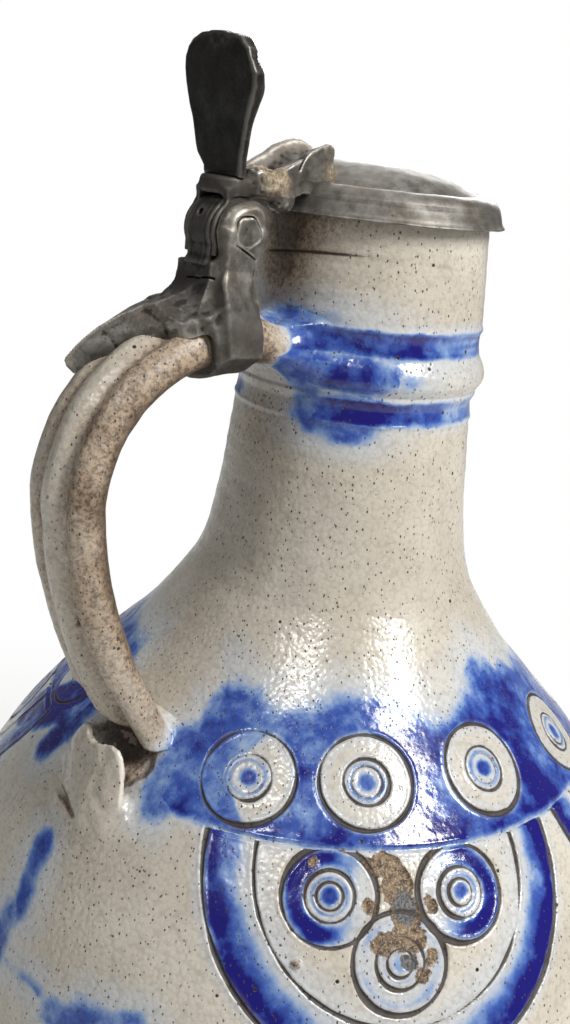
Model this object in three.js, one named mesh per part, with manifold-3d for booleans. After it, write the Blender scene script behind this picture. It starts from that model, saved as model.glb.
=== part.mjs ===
// Salt-glazed stoneware jug with a hinged pewter lid, in millimetres, +Z up.
// The jug stands on z = 0 with its axis on z, the handle points to -X, and the lid's pin lies along Y.
import * as THREE from 'three';
import { mergeVertices } from 'three/addons/utils/BufferGeometryUtils.js';
import Module from 'manifold-3d';

// Stoneware body.
const rimHeight = 336.5;
const neckRadius = 33;
const rimInset = 2.4;
const bellyRadius = 112;
const bellyHeight = 115;
const footRadius = 64;
const footHeight = 11;
const wall = 5.5;
const floorThickness = 8;
const mouldingDrop = 46.5;
const beadHeight = 9;
const beadStand = 2.1;
const grooveStep = 0.9;
const turns = 48;

// Stoneware handle.
const handleReach = 57.8;
const archRadius = 38.5;
const handleDrop = 35.5;
const handleFootDrop = 137;
const handleLean = 3.5;
const rootDepth = 3;
const strapWidth = 25;
const strapBack = 6.8;
const rootRise = 2.2;
const strapFront = 5.8;
const fluteDepth = 1.1;
const fluteHalfWidth = 1.7;
const sectionPoints = 28;

// Broken scroll under the handle's foot.
const scrollDrop = 163;
const scrollWidth = 26;
const scrollHeight = 23;
const scrollThickness = 4.4;
const scrollBow = 3.5;
const scrollChip = 1.5;
const scrollShift = 3.5;
const scrollTilt = 0.16;

// Pewter mount on the handle.
const clearance = 0.3;
const hingeReach = 20.5;
const hingeDrop = 8.5;
const knuckleRadius = 7.7;
const pinRadius = 1.9;
const blockWidth = 8.7;
const blockOffset = 0.55;
const leafThickness = 1.3;
const cheekThickness = 3.7;
const cheekRadius = 7.2;
const stripWidth = 7.2;
const stripShift = 1;
const plugRadius = 4;
const plugDepth = 1.2;
const plugStand = 0.6;
const bandWidth = 12.4;
const bandLead = 3.3;
const bandWall = 2.4;
const tongueReach = 23.5;
const tongueThickness = 3.4;
const standWidth = 12.7;
const standOffset = 1;
const standLength = 12;
const standFlare = 1.6;

// Pewter lid with its arm and thumbpiece.
const skirtDepth = 3.3;
const skirtGap = 1.1;
const skirtWall = 1.9;
const lidWall = 2.4;
const shoulderHeight = 4;
const domeHeight = 10.9;
const domeInset = 5.5;
const domeFullness = 2.7;
const lidTurns = 36;
const armWidth = 13.6;
const armReach = 27;
const armWall = 1.7;
const armFloor = 3;
const collarWidth = 12.8;
const collarDepth = 8.4;
const collarHeight = 3.6;
const bladeWidth = 25.4;
const bladeHeight = 32.1;
const bladeThickness = 2.2;
const bladeLean = 3.8;
const bladeRib = 0.8;

const ringHeight = rimHeight - mouldingDrop;
const hingeX = -(neckRadius + hingeReach);
const hingeZ = rimHeight - hingeDrop;
const bandStart = rootDepth + hingeReach - bandLead;
const bandEnd = bandStart + bandWidth;
const strapTop = rimHeight - handleDrop + strapBack;

const sliver = 0.02;

const wasm = await Module();
wasm.setup();

const stoneware = new THREE.MeshStandardMaterial({ color: 0xa39c8c, roughness: 0.45, metalness: 0 });
const clay = new THREE.MeshStandardMaterial({ color: 0xa08e72, roughness: 0.6, metalness: 0 });
const pewter = new THREE.MeshStandardMaterial({ color: 0x57534c, roughness: 0.5, metalness: 0.9 });
const wornPewter = new THREE.MeshStandardMaterial({ color: 0x7d776b, roughness: 0.55, metalness: 0.8 });

const jug = new THREE.Group();

function addPart(name, geometry, material, x = 0, y = 0, z = 0) {
  const mesh = new THREE.Mesh(geometry, material);
  mesh.name = name;
  mesh.position.set(x, y, z);
  jug.add(mesh);
}

function solidOf(geometry) {
  const bare = geometry.clone();
  bare.deleteAttribute('normal');
  bare.deleteAttribute('uv');
  const merged = mergeVertices(bare, 1e-4);
  return new wasm.Manifold(new wasm.Mesh({
    numProp: 3,
    vertProperties: Float32Array.from(merged.attributes.position.array),
    triVerts: Uint32Array.from(merged.index.array),
  }));
}

function geometryOf(solid) {
  const mesh = solid.setTolerance(sliver).getMesh();
  const geometry = new THREE.BufferGeometry();
  geometry.setAttribute('position', new THREE.BufferAttribute(mesh.vertProperties, 3));
  geometry.setIndex(new THREE.BufferAttribute(mesh.triVerts, 1));
  geometry.computeVertexNormals();
  return geometry;
}

// A closed skin over rings of points that all have the same count.
function loft(rings) {
  const count = rings[0].length;
  const points = rings.flat();
  const faces = [];
  for (let i = 0; i + 1 < rings.length; i++) {
    for (let j = 0; j < count; j++) {
      const a = i * count + j;
      const b = i * count + (j + 1) % count;
      faces.push(a, b, b + count, a, b + count, a + count);
    }
  }
  for (const [ring, first] of [[rings[0], 0], [rings.at(-1), (rings.length - 1) * count]]) {
    const middle = new THREE.Vector3();
    ring.forEach((p) => middle.addScaledVector(p, 1 / count));
    points.push(middle);
    for (let j = 0; j < count; j++) {
      const side = [first + j, first + (j + 1) % count];
      faces.push(points.length - 1, ...(first ? side : side.reverse()));
    }
  }
  const corner = (k) => points[faces[k]];
  let volume = 0;
  for (let k = 0; k < faces.length; k += 3) {
    volume += corner(k).dot(new THREE.Vector3().crossVectors(corner(k + 1), corner(k + 2)));
  }
  if (volume < 0) faces.reverse();
  const geometry = new THREE.BufferGeometry().setFromPoints(points);
  geometry.setIndex(faces);
  geometry.computeVertexNormals();
  return geometry;
}

// Turned shapes: a profile of [radius, height] pairs about the jug's axis.
function turned(profile, segments = turns) {
  const points = profile.map(([radius, height]) => new THREE.Vector2(Math.max(radius, 0), height));
  return new THREE.LatheGeometry(points, segments).rotateX(Math.PI / 2);
}

function smooth(pairs, steps) {
  const curve = new THREE.SplineCurve(pairs.map(([a, b]) => new THREE.Vector2(a, b)));
  return curve.getSpacedPoints(steps).map((p) => [p.x, p.y]);
}

// Shoulder and belly, as shares of the way from the neck out to the belly and down to it.
function bodyLine() {
  const out = (share) => neckRadius + (bellyRadius - neckRadius) * share;
  const up = (share) => bellyHeight + (ringHeight - bellyHeight) * share;
  const shoulder = [[0.002, 0.94], [0.013, 0.882], [0.052, 0.743], [0.126, 0.65], [0.264, 0.571],
    [0.459, 0.479], [0.594, 0.42], [0.69, 0.365], [0.86, 0.24], [0.955, 0.13], [1, 0]];
  const under = (share) => bellyHeight + (footHeight - bellyHeight) * share;
  const inward = (share) => bellyRadius + (footRadius - 3 - bellyRadius) * share;
  const lower = [[0.05, 0.25], [0.2, 0.5], [0.46, 0.75], [0.74, 0.91], [1, 1]];
  return [
    ...shoulder.map(([a, b]) => [out(a), up(b)]),
    ...lower.map(([a, b]) => [inward(a), under(b)]),
  ];
}

// Neck above the shoulder, from the rim down: tool line, blue band, bead and lower band.
function neckLine(stand) {
  const rimRadius = neckRadius - rimInset;
  const z = (height) => ringHeight + height;
  const r = (radius) => neckRadius + radius + stand;
  return [
    [rimRadius + stand, rimHeight - 1.2],
    [r(-1.1), z(30)],
    [r(-0.2), z(18.6)],
    [r(0.3), z(17.6)],
    [r(0.3 - grooveStep), z(16.6)],
    [r(-0.4), z(beadHeight + 1)],
    [r(0.3), z(beadHeight)],
    [r(beadStand * 0.75), z(beadHeight * 0.75)],
    [r(beadStand), z(beadHeight * 0.45)],
    [r(beadStand * 0.6), z(beadHeight * 0.16)],
    [r(0.1), z(0)],
    [r(0.6), z(-1)],
    [r(-0.4), z(-2.4)],
    [r(-0.2), z(-7)],
    [r(0.2), z(-7.8)],
  ];
}

function footLine(stand) {
  return [
    [footRadius - 1 + stand, footHeight * 0.72],
    [footRadius + stand, footHeight * 0.5],
    [footRadius + 0.4 + stand, footHeight * 0.2],
    [footRadius - 0.6 + stand, 0],
  ];
}

function offsetLine(line, distance) {
  return line.map(([radius, height], i) => {
    const before = line[Math.max(i - 1, 0)];
    const after = line[Math.min(i + 1, line.length - 1)];
    const along = new THREE.Vector2(after[0] - before[0], after[1] - before[1]).normalize();
    return [radius - along.y * distance, height + along.x * distance];
  });
}

const bodyCurve = smooth(bodyLine(), 21);

function radiusAt(height) {
  const line = [...neckLine(0), ...bodyCurve];
  for (let i = 0; i + 1 < line.length; i++) {
    const [[upperRadius, upper], [lowerRadius, lower]] = [line[i], line[i + 1]];
    if (height <= upper && height >= lower) {
      return lowerRadius + (upperRadius - lowerRadius) * (height - lower) / (upper - lower);
    }
  }
  return neckRadius;
}

function jugBody() {
  const inside = offsetLine(smooth(bodyLine(), 10), -wall).filter(([, z]) => z > floorThickness + 4);
  const bore = neckRadius - wall;
  const floorRadius = inside.at(-1)[0];
  return turned([
    [0, 0],
    ...footLine(0).reverse(),
    ...[...bodyCurve].reverse(),
    ...neckLine(0).reverse(),
    [neckRadius - rimInset - 1, rimHeight],
    [bore + 0.8, rimHeight],
    [bore, rimHeight - 1.2],
    ...inside,
    [floorRadius - 5, floorThickness + 0.6],
    [0, floorThickness],
  ]);
}

// The space that the stoneware fills with its clearance, for cutting what is stuck on it.
function bodySpace() {
  const outer = [...neckLine(clearance), ...offsetLine(bodyCurve, clearance), ...footLine(clearance)];
  return solidOf(turned([[0, 0], ...outer.reverse(), [0, rimHeight - 1.2]]));
}

// The handle's middle line: a run from the neck, a round arch, and a curve down to the shoulder.
function handlePath() {
  const top = rimHeight - handleDrop;
  const reach = neckRadius + handleReach;
  const archX = reach - archRadius;
  const archZ = top - archRadius;
  const foot = rimHeight - handleFootDrop;
  const footReach = radiusAt(foot) + 0.5;
  const points = [
    [neckRadius - rootDepth, top - 2],
    [neckRadius + (archX - neckRadius) * 0.5, top - 0.4],
  ];
  for (let i = 0; i <= 5; i++) {
    const turn = (Math.PI / 2) * (i / 5);
    points.push([archX + archRadius * Math.sin(turn), archZ + archRadius * Math.cos(turn)]);
  }
  for (const share of [0.22, 0.42, 0.62, 0.82, 1, 1.12]) {
    points.push([reach - (reach - footReach) * share ** 1.65, archZ - (archZ - foot) * share]);
  }
  const lean = (i) => handleLean * Math.sin((Math.PI * i) / (points.length - 1));
  return new THREE.CatmullRomCurve3(points.map(([out, z], i) => new THREE.Vector3(-out, lean(i), z)));
}

const path = handlePath();
const pathLength = path.getLength();

// The strap's section as [across, proud of the middle line]: fluted back, rolled edges, plain front.
function strapSection(grow, back, widen) {
  const half = strapWidth / 2;
  const section = [];
  for (let i = 0; i < sectionPoints; i++) {
    const angle = (2 * Math.PI * i) / sectionPoints;
    const c = Math.cos(angle);
    const s = Math.sin(angle);
    const across = Math.sign(c) * Math.abs(c) ** 0.72 * half;
    const depth = s > 0 ? back : strapFront;
    let proud = Math.sign(s) * Math.abs(s) ** 0.62 * depth;
    if (s > 0) {
      for (const flute of [-0.72 * half, 0, 0.72 * half]) {
        proud -= fluteDepth * Math.exp(-(((across - flute) / fluteHalfWidth) ** 2));
      }
    }
    const stretch = 1 + grow / Math.hypot(across, proud);
    section.push([across * widen * stretch, proud * stretch]);
  }
  return section;
}

// A frame on the handle's path: its point, and the way out from the handle's back.
function frameAt(distance) {
  const share = THREE.MathUtils.clamp(distance / pathLength, 0, 1);
  const point = path.getPointAt(share);
  const along = path.getTangentAt(share);
  return { point, out: new THREE.Vector3(along.z, 0, -along.x).normalize() };
}

// The strap is thicker at its root than along the rest of the handle.
function backAt(distance) {
  return strapBack + rootRise * (1 - THREE.MathUtils.smoothstep(distance, bandEnd - 4, bandEnd + 30));
}

function strapRings(from, to, steps, grow, widenAt = () => 1) {
  const rings = [];
  for (let i = 0; i <= steps; i++) {
    const distance = from + ((to - from) * i) / steps;
    const { point, out } = frameAt(distance);
    rings.push(strapSection(grow, backAt(distance), widenAt(distance)).map(([across, proud]) => (
      point.clone().addScaledVector(out, proud).add(new THREE.Vector3(0, across, 0))
    )));
  }
  return rings;
}

// The strap spreads where it is pressed on to the neck and the shoulder.
function strapSpread(distance) {
  const root = Math.exp(-((distance / 7) ** 2));
  const foot = Math.exp(-(((pathLength - distance) / 16) ** 2));
  return 1 + 0.25 * root + 0.3 * foot;
}

const space = bodySpace();

function handle() {
  return geometryOf(solidOf(loft(strapRings(0, pathLength, 28, 0, strapSpread))).subtract(space));
}

// The strap's end below the handle's foot, rolled outwards into a lip and broken along its top.
function handleScroll() {
  const base = rimHeight - scrollDrop;
  const baseReach = radiusAt(base) - scrollThickness / 2;
  const steps = 8;
  const rings = [];
  for (let i = 0; i <= steps; i++) {
    const share = i / steps;
    const half = (scrollWidth / 2) * (1 - 0.25 * share ** 2);
    const thick = (scrollThickness / 2) * (1 - 0.35 * share);
    const reach = baseReach + 1.5 * Math.sin(Math.PI * share) - 1.5 * share;
    const ring = [];
    for (let j = 0; j < 20; j++) {
      const angle = (2 * Math.PI * (j + 0.3)) / 20;
      const across = half * Math.sign(Math.cos(angle)) * Math.abs(Math.cos(angle)) ** 0.6;
      const bow = scrollBow * (1 - (across / half) ** 2) - scrollBow;
      const chip = scrollChip * share ** 3 * Math.sin((across / half) * 2.2);
      ring.push(new THREE.Vector3(
        -(reach + bow + thick * Math.sin(angle)),
        across - scrollShift,
        base + scrollHeight * share + scrollTilt * across * (1 - share) + chip,
      ));
    }
    rings.push(ring);
  }
  return geometryOf(solidOf(loft(rings)).subtract(space));
}

function bandSpace(grow) {
  const ends = grow - bandWall - clearance;
  return solidOf(loft(strapRings(bandStart - ends, bandEnd + ends, 6, grow)));
}

// What lies on the strap is cut by the strap with its clearance.
function strapSpace() {
  return solidOf(loft(strapRings(bandStart - 6, pathLength * 0.6, 24, clearance)));
}

const strapCut = strapSpace();
const bandCut = bandSpace(bandWall + 2 * clearance);

function handleBand() {
  return geometryOf(bandSpace(bandWall + clearance).subtract(strapCut));
}

// A thick leaf from the band along the strap's back, drawn out to a point on the far side.
// Its outline holds [share of the length, near edge, far edge].
function tongueSolid(grow) {
  const from = bandEnd - 2;
  const outline = [[0, -12.3, 12.3], [0.16, -12, 12.3], [0.32, -6.5, 12.1], [0.48, -1, 11.9],
    [0.65, 3.6, 11.6], [0.85, 6.6, 11], [1, 8.3, 9.7]];
  const nearEdge = new THREE.SplineCurve(outline.map(([share, near]) => new THREE.Vector2(share, near)));
  const farEdge = new THREE.SplineCurve(outline.map(([share, , far]) => new THREE.Vector2(share, far)));
  const steps = 14;
  const rings = [];
  for (let i = 0; i <= steps; i++) {
    const { x: share, y: near } = nearEdge.getPoint(i / steps);
    const far = farEdge.getPoint(i / steps).y;
    const middle = (near + far) / 2;
    const half = (far - near) / 2 + grow;
    const distance = from + (tongueReach + grow) * share;
    const { point, out } = frameAt(distance);
    const base = backAt(distance) + clearance + grow;
    const top = base + tongueThickness * (1 - 0.35 * share ** 2);
    const section = [[-1, base - 7], [-1, top - 1.2], [-0.9, top - 0.4], [-0.6, top], [-0.1, top - 0.1],
      [0.5, top - 0.9], [0.9, top - 2.2], [1, top - 2.9], [1, base - 7]];
    rings.push(section.map(([across, proud]) => (
      point.clone().addScaledVector(out, proud).add(new THREE.Vector3(0, middle + across * half, 0))
    )));
  }
  return solidOf(loft(rings));
}

function handleTongue() {
  return geometryOf(tongueSolid(0).subtract(strapCut).subtract(bandCut));
}

// A flat plate in the XZ plane from an outline around the pin, its near face at y = -nearFace.
function plate(outline, nearFace, thickness, holeRadius, bevel = 0.3) {
  const shape = outline(new THREE.Shape());
  if (holeRadius) shape.holes.push(new THREE.Path().absarc(0, 0, holeRadius, 0, 2 * Math.PI, true));
  const geometry = new THREE.ExtrudeGeometry(shape, {
    depth: thickness - 2 * bevel,
    bevelThickness: bevel,
    bevelSize: bevel,
    bevelOffset: -bevel,
    bevelSegments: 1,
    curveSegments: 14,
  });
  return geometry.rotateX(Math.PI / 2).translate(0, thickness - bevel - nearFace, 0);
}

const pinFit = pinRadius + clearance;
const blockNear = blockWidth / 2 - blockOffset;
const blockFar = -blockWidth / 2 - blockOffset;
const cheekNear = blockNear + 2 * clearance + leafThickness + cheekThickness;
const standTop = -knuckleRadius - clearance;
const collarBottom = knuckleRadius + clearance + 0.1;

function knuckle(shape, radius, legBack, legFront, legBottom) {
  const front = Math.asin(legFront / radius);
  const back = Math.asin(legBack / radius);
  shape.moveTo(legFront, legBottom);
  shape.lineTo(radius * Math.sin(front), -radius * Math.cos(front));
  shape.absarc(0, 0, radius, -Math.PI / 2 + front, 1.5 * Math.PI - back, false);
  shape.lineTo(-legBack, legBottom);
  return shape;
}

function hingeBlock() {
  const outline = (shape) => knuckle(shape, knuckleRadius, 6, 6, standTop + clearance);
  return plate(outline, blockNear, blockWidth, pinFit);
}

// The near cheek stands on the band by a tapering strip and has a recess for the pin's plug.
function hingeCheek() {
  const half = stripWidth / 2;
  const bottom = strapTop - hingeZ;
  const outline = (shape) => knuckle(shape, cheekRadius, half - stripShift, half + stripShift, bottom);
  const body = solidOf(plate(outline, cheekNear, cheekThickness, pinFit));
  const recess = new THREE.CylinderGeometry(plugRadius + clearance, plugRadius + clearance, plugDepth * 2, 28)
    .translate(0, -cheekNear, 0);
  return geometryOf(body.translate([hingeX, 0, hingeZ])
    .subtract(solidOf(recess).translate([hingeX, 0, hingeZ]))
    .subtract(bandCut)
    .subtract(strapCut));
}

function lidLeaf(nearFace) {
  const radius = knuckleRadius - clearance;
  const tab = 3;
  const turn = Math.asin(tab / radius);
  const outline = (shape) => {
    shape.moveTo(-tab, collarBottom - clearance);
    shape.lineTo(-radius * Math.sin(turn), radius * Math.cos(turn));
    shape.absarc(0, 0, radius, Math.PI / 2 + turn, 2.5 * Math.PI - turn, false);
    shape.lineTo(tab, collarBottom - clearance);
    return shape;
  };
  return plate(outline, nearFace, leafThickness, pinFit, 0.2);
}

// The pin runs from its riveted far end to just under the plug.
function hingePin() {
  const far = blockFar - 2 * clearance - leafThickness;
  const near = cheekNear - plugDepth - clearance;
  const head = pinRadius + 1;
  return new THREE.LatheGeometry([[0, far - 1], [head - 0.5, far - 1], [head, far - 0.5], [head, far],
    [pinRadius, far], [pinRadius, near - 0.4], [pinRadius - 0.4, near], [0, near]]
    .map(([radius, along]) => new THREE.Vector2(radius, along)), 24).rotateX(Math.PI);
}

function pinPlug() {
  const inner = cheekNear - plugDepth + clearance;
  return new THREE.LatheGeometry([[0, inner], [plugRadius - 0.3, inner], [plugRadius, inner + 0.3],
    [plugRadius, cheekNear], [plugRadius - 0.9, cheekNear + plugStand * 0.8], [0, cheekNear + plugStand]]
    .map(([radius, along]) => new THREE.Vector2(radius, along)), 24).rotateX(Math.PI);
}

// The foot that carries the fixed knuckle, spreading down on to the band and the tongue's root.
function hingeStand() {
  const bottom = strapTop - hingeZ;
  const half = standLength / 2;
  const outline = (shape) => {
    shape.moveTo(-half - 0.4, standTop);
    shape.lineTo(half - 0.4, standTop);
    shape.quadraticCurveTo(half, standTop - 4, half + standFlare, bottom);
    shape.lineTo(-half - standFlare - 1, bottom);
    shape.quadraticCurveTo(-half - 0.8, standTop - 4, -half - 0.4, standTop);
    return shape;
  };
  const foot = plate(outline, standWidth / 2 - standOffset, standWidth, 0, 0.5);
  return geometryOf(solidOf(foot).translate([hingeX, 0, hingeZ])
    .subtract(bandCut)
    .subtract(strapCut)
    .subtract(tongueSolid(clearance)));
}

const seat = rimHeight + clearance;
const skirtRadius = neckRadius - rimInset + skirtGap + skirtWall;

// The lid's outside from the skirt's lip over the shoulder, a small step and the dome.
function lidLine() {
  const shoulder = seat + shoulderHeight;
  const domeRadius = neckRadius - domeInset;
  const lip = rimHeight - skirtDepth;
  const line = [
    [skirtRadius, lip],
    [skirtRadius + 1.4, lip + 0.6],
    [skirtRadius + 1.3, lip + 1.7],
    [skirtRadius + 0.7, lip + 3.6],
    [skirtRadius - 0.4, shoulder - 1.5],
    [skirtRadius - 1.6, shoulder - 0.3],
    [skirtRadius - 2.9, shoulder],
    [skirtRadius - 3.8, shoulder],
    [skirtRadius - 4.4, shoulder - 0.5],
    [skirtRadius - 5, shoulder - 0.4],
  ];
  const rise = domeHeight - shoulderHeight + 0.4;
  for (let i = 0; i <= 7; i++) {
    const radius = domeRadius * (1 - i / 7);
    line.push([radius, seat + domeHeight - rise * (radius / domeRadius) ** domeFullness]);
  }
  return line;
}

function lid() {
  const inside = [[skirtRadius - skirtWall, seat], [neckRadius - wall - 0.5, seat]];
  const hollow = neckRadius - wall - 1.5;
  const top = seat + domeHeight - lidWall;
  for (let i = 0; i <= 5; i++) {
    const radius = hollow * (1 - i / 5);
    inside.push([radius, top - (top - seat - 1.6) * (radius / hollow) ** domeFullness]);
  }
  const lip = [skirtRadius - skirtWall + 0.6, rimHeight - skirtDepth];
  return turned([...inside.reverse(), lip, ...lidLine()], lidTurns);
}

function lidSpace() {
  const outer = offsetLine([...lidLine().slice(1), [0, seat + domeHeight]], -clearance);
  return solidOf(turned([[0, seat], [skirtRadius + 1.4 + clearance, seat - 3], ...outer.slice(0, -2),
    [0, seat + domeHeight + clearance]], lidTurns));
}

const collarX = -0.5;
const armStart = collarX + collarDepth / 2 + clearance;

// A trough from the collar over the lid's edge, with two upturned wings that end above the dome.
function lidArm() {
  const stations = [
    [0, -0.6, 4.6, 0.94], [0.18, -1.2, 5.8, 1], [0.34, -1, 7.6, 1.02], [0.5, 0.7, 10, 1.04],
    [0.67, 4.1, 12.4, 1.02], [0.78, 7.6, 13.6, 0.98], [0.93, 10, 13.8, 0.84], [1, 11, 12.8, 0.6],
  ];
  const rings = stations.map(([share, bottom, top, spread]) => {
    const half = (armWidth / 2) * spread;
    const floor = Math.min(bottom + armFloor, top - 0.6);
    const x = hingeX + armStart + armReach * share;
    const inner = half - armWall;
    const outside = [[-half, top], [-half, (top + bottom) / 2], [-half * 0.62, bottom + 0.5], [0, bottom],
      [half * 0.62, bottom + 0.5], [half, (top + bottom) / 2], [half, top]];
    const trough = [[inner, top], [inner * 0.8, (top + floor) / 2 + 0.3], [0, floor],
      [-inner * 0.8, (top + floor) / 2 + 0.3], [-inner, top]];
    return [...outside, ...trough].map(([across, z]) => new THREE.Vector3(x, across, seat + z));
  });
  return geometryOf(solidOf(loft(rings)).subtract(lidSpace()).subtract(knuckleSpace()));
}

// The round of the hinge, with its clearance, that the arm keeps clear of.
function knuckleSpace() {
  const radius = knuckleRadius + clearance;
  const across = blockWidth + 2 * leafThickness + 4 * clearance;
  const round = new THREE.CylinderGeometry(radius, radius, across, 48);
  return solidOf(round.translate(hingeX, blockOffset, hingeZ));
}

function roundedRing(x, halfDepth, halfWidth, z) {
  const ring = [];
  for (let j = 0; j < 24; j++) {
    const angle = (2 * Math.PI * j) / 24;
    const [c, s] = [Math.cos(angle), Math.sin(angle)];
    ring.push(new THREE.Vector3(
      x + halfDepth * Math.sign(c) * Math.abs(c) ** 0.7,
      halfWidth * Math.sign(s) * Math.abs(s) ** 0.7,
      z,
    ));
  }
  return ring;
}

function thumbCollar() {
  const swell = [[0, 0.8], [0.22, 0.94], [0.5, 1], [0.8, 0.94], [1, 0.84]];
  return loft(swell.map(([share, size]) => roundedRing(
    collarX,
    (collarDepth / 2) * size,
    (collarWidth / 2) * size,
    collarBottom + collarHeight * share,
  )));
}

// The thumbpiece: plain outside, with a shell's ribs towards the lid, leaning a little outwards.
function thumbpiece() {
  const halves = [[0, 0.54], [0.12, 0.55], [0.27, 0.69], [0.55, 0.92], [0.71, 1], [0.84, 0.93], [0.93, 0.72],
    [1, 0.22]];
  const outline = new THREE.SplineCurve(halves.map(([share, half]) => new THREE.Vector2(share, half)));
  const bottom = collarBottom + collarHeight + clearance;
  const steps = 13;
  const rings = [];
  for (let i = 0; i <= steps; i++) {
    const { x: share, y: size } = outline.getPoint(i / steps);
    const half = (bladeWidth / 2) * size;
    const back = -0.8 - bladeLean * share;
    const shell = THREE.MathUtils.smoothstep(share, 0.35, 0.6);
    const z = bottom + bladeHeight * share;
    const ring = [];
    for (let j = 0; j <= 6; j++) {
      const u = -1 + j / 3;
      ring.push(new THREE.Vector3(back - 0.5 * (1 - u * u), u * half, z));
    }
    for (let j = 0; j <= 16; j++) {
      const u = 1 - j / 8;
      const rib = bladeRib * shell * Math.abs(Math.cos(3 * Math.PI * u));
      const round = 1 - 0.55 * u ** 6;
      ring.push(new THREE.Vector3(back + bladeThickness * round + rib, u * half * 0.985, z));
    }
    rings.push(ring);
  }
  return loft(rings);
}

addPart('jug_body', jugBody(), stoneware);
addPart('handle', handle(), clay);
addPart('handle_scroll', handleScroll(), clay);
addPart('handle_band', handleBand(), wornPewter);
addPart('handle_tongue', handleTongue(), pewter);
addPart('hinge_stand', hingeStand(), pewter);
addPart('hinge_block', hingeBlock(), pewter, hingeX, 0, hingeZ);
addPart('hinge_cheek', hingeCheek(), wornPewter);
addPart('hinge_pin', hingePin(), pewter, hingeX, 0, hingeZ);
addPart('pin_plug', pinPlug(), wornPewter, hingeX, 0, hingeZ);
addPart('lid', lid(), pewter);
addPart('lid_arm', lidArm(), wornPewter);
addPart('near_leaf', lidLeaf(blockNear + clearance + leafThickness), pewter, hingeX, 0, hingeZ);
addPart('far_leaf', lidLeaf(blockFar - clearance), pewter, hingeX, 0, hingeZ);
addPart('thumb_collar', thumbCollar(), pewter, hingeX, 0, hingeZ);
addPart('thumbpiece', thumbpiece(), pewter, hingeX, 0, hingeZ);

export default jug;
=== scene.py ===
"""The looks of a salt-glazed stoneware jug with a pewter lid, thumbpiece and hinge.

Sizes of the jug are millimetres, and meshes are scaled to metres when they are laid down. The stage, the
camera and the inputs of the lid's node tree are in metres.
"""

import functools
import math

import bpy
import numpy as np
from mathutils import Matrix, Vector


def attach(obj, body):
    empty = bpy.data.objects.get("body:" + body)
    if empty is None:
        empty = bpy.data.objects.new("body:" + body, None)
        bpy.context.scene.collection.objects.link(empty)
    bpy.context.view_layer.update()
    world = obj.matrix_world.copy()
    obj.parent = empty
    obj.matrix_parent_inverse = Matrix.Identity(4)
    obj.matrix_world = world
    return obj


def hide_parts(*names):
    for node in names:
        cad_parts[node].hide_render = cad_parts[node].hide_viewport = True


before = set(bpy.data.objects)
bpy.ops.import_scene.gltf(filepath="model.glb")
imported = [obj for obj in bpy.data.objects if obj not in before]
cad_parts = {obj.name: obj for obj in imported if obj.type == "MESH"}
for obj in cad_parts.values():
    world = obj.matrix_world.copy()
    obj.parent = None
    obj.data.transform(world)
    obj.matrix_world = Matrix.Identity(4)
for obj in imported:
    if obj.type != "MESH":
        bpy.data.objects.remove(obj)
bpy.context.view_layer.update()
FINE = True

RIM = 336.5
RING = 290.0
GROOVE = RING - 101.7
PIN_X, PIN_Z = -53.5, 328.0
FAR = 1e9
RANDOM = np.random.default_rng(7).uniform(-1, 1, 8192)
CORNERS = [(i, j, k) for i in (0, 1) for j in (0, 1) for k in (0, 1)]


# Numbers that vary smoothly.

def step(value, low, high):
    share = np.clip((value - low) / (high - low), 0, 1)
    return share * share * (3 - 2 * share)


def highest(*values):
    return functools.reduce(np.maximum, values)


def lowest(*values):
    return functools.reduce(np.minimum, values)


def bump(value, middle, width):
    return np.exp(-(((value - middle) / width) ** 2))


def blend(a, b, radius):
    """The lower of two distances, with the corner between them filled to a radius."""
    share = np.clip(0.5 + 0.5 * (b - a) / radius, 0, 1)
    return b * (1 - share) + a * share - radius * share * (1 - share)


def carve(a, b, radius):
    """What is left of a when b is cut out of it, with a soft edge."""
    return -blend(-a, b, radius)


def cross(a, b, radius):
    """What two solids share, with a soft edge."""
    return -blend(-a, -b, radius)


def grain(x, y, z, size, seed=0):
    """Smooth random numbers from -1 to 1 that change over a size in millimetres."""
    cells, shares = [], []
    for value in (x, y, z):
        scaled = np.asarray(value) / size + 100.37
        floor = np.floor(scaled)
        share = scaled - floor
        cells.append(floor.astype(np.int64))
        shares.append(share * share * (3 - 2 * share))
    total = 0.0
    for corner in CORNERS:
        key = 0
        weight = 1.0
        for cell, share, end, prime in zip(cells, shares, corner, (73856093, 19349663, 83492791)):
            key = key ^ ((cell + end) * prime)
            weight = weight * (share if end else 1 - share)
        total += RANDOM[(key + seed * 977) & 8191] * weight
    return total


def rough(x, y, z, size, seed=0):
    return 0.6 * grain(x, y, z, size, seed) + 0.4 * grain(x, y, z, size * 0.43, seed + 1)


def curve(points, spacing):
    """A smooth line through points, as even steps of the given spacing."""
    points = np.array(points, float)
    ends = np.vstack([2 * points[0] - points[1], points, 2 * points[-1] - points[-2]])
    run = []
    share = np.linspace(0, 1, 40, endpoint=False)[:, None]
    for a, b, c, d in zip(ends, ends[1:], ends[2:], ends[3:]):
        run.append(0.5 * (2 * b + (c - a) * share + (2 * a - 5 * b + 4 * c - d) * share**2
                          + (3 * b - a - 3 * c + d) * share**3))
    run = np.vstack(run + [points[-1:]])
    length = np.concatenate([[0], np.cumsum(np.linalg.norm(np.diff(run, axis=0), axis=1))])
    even = np.arange(0, length[-1], spacing)
    return np.stack([np.interp(even, length, run[:, i]) for i in range(run.shape[1])], 1), even


# Laying meshes down.

def put(name, data):
    """A new object in the scene."""
    thing = bpy.data.objects.new(name, data)
    bpy.context.scene.collection.objects.link(thing)
    return thing


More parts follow.
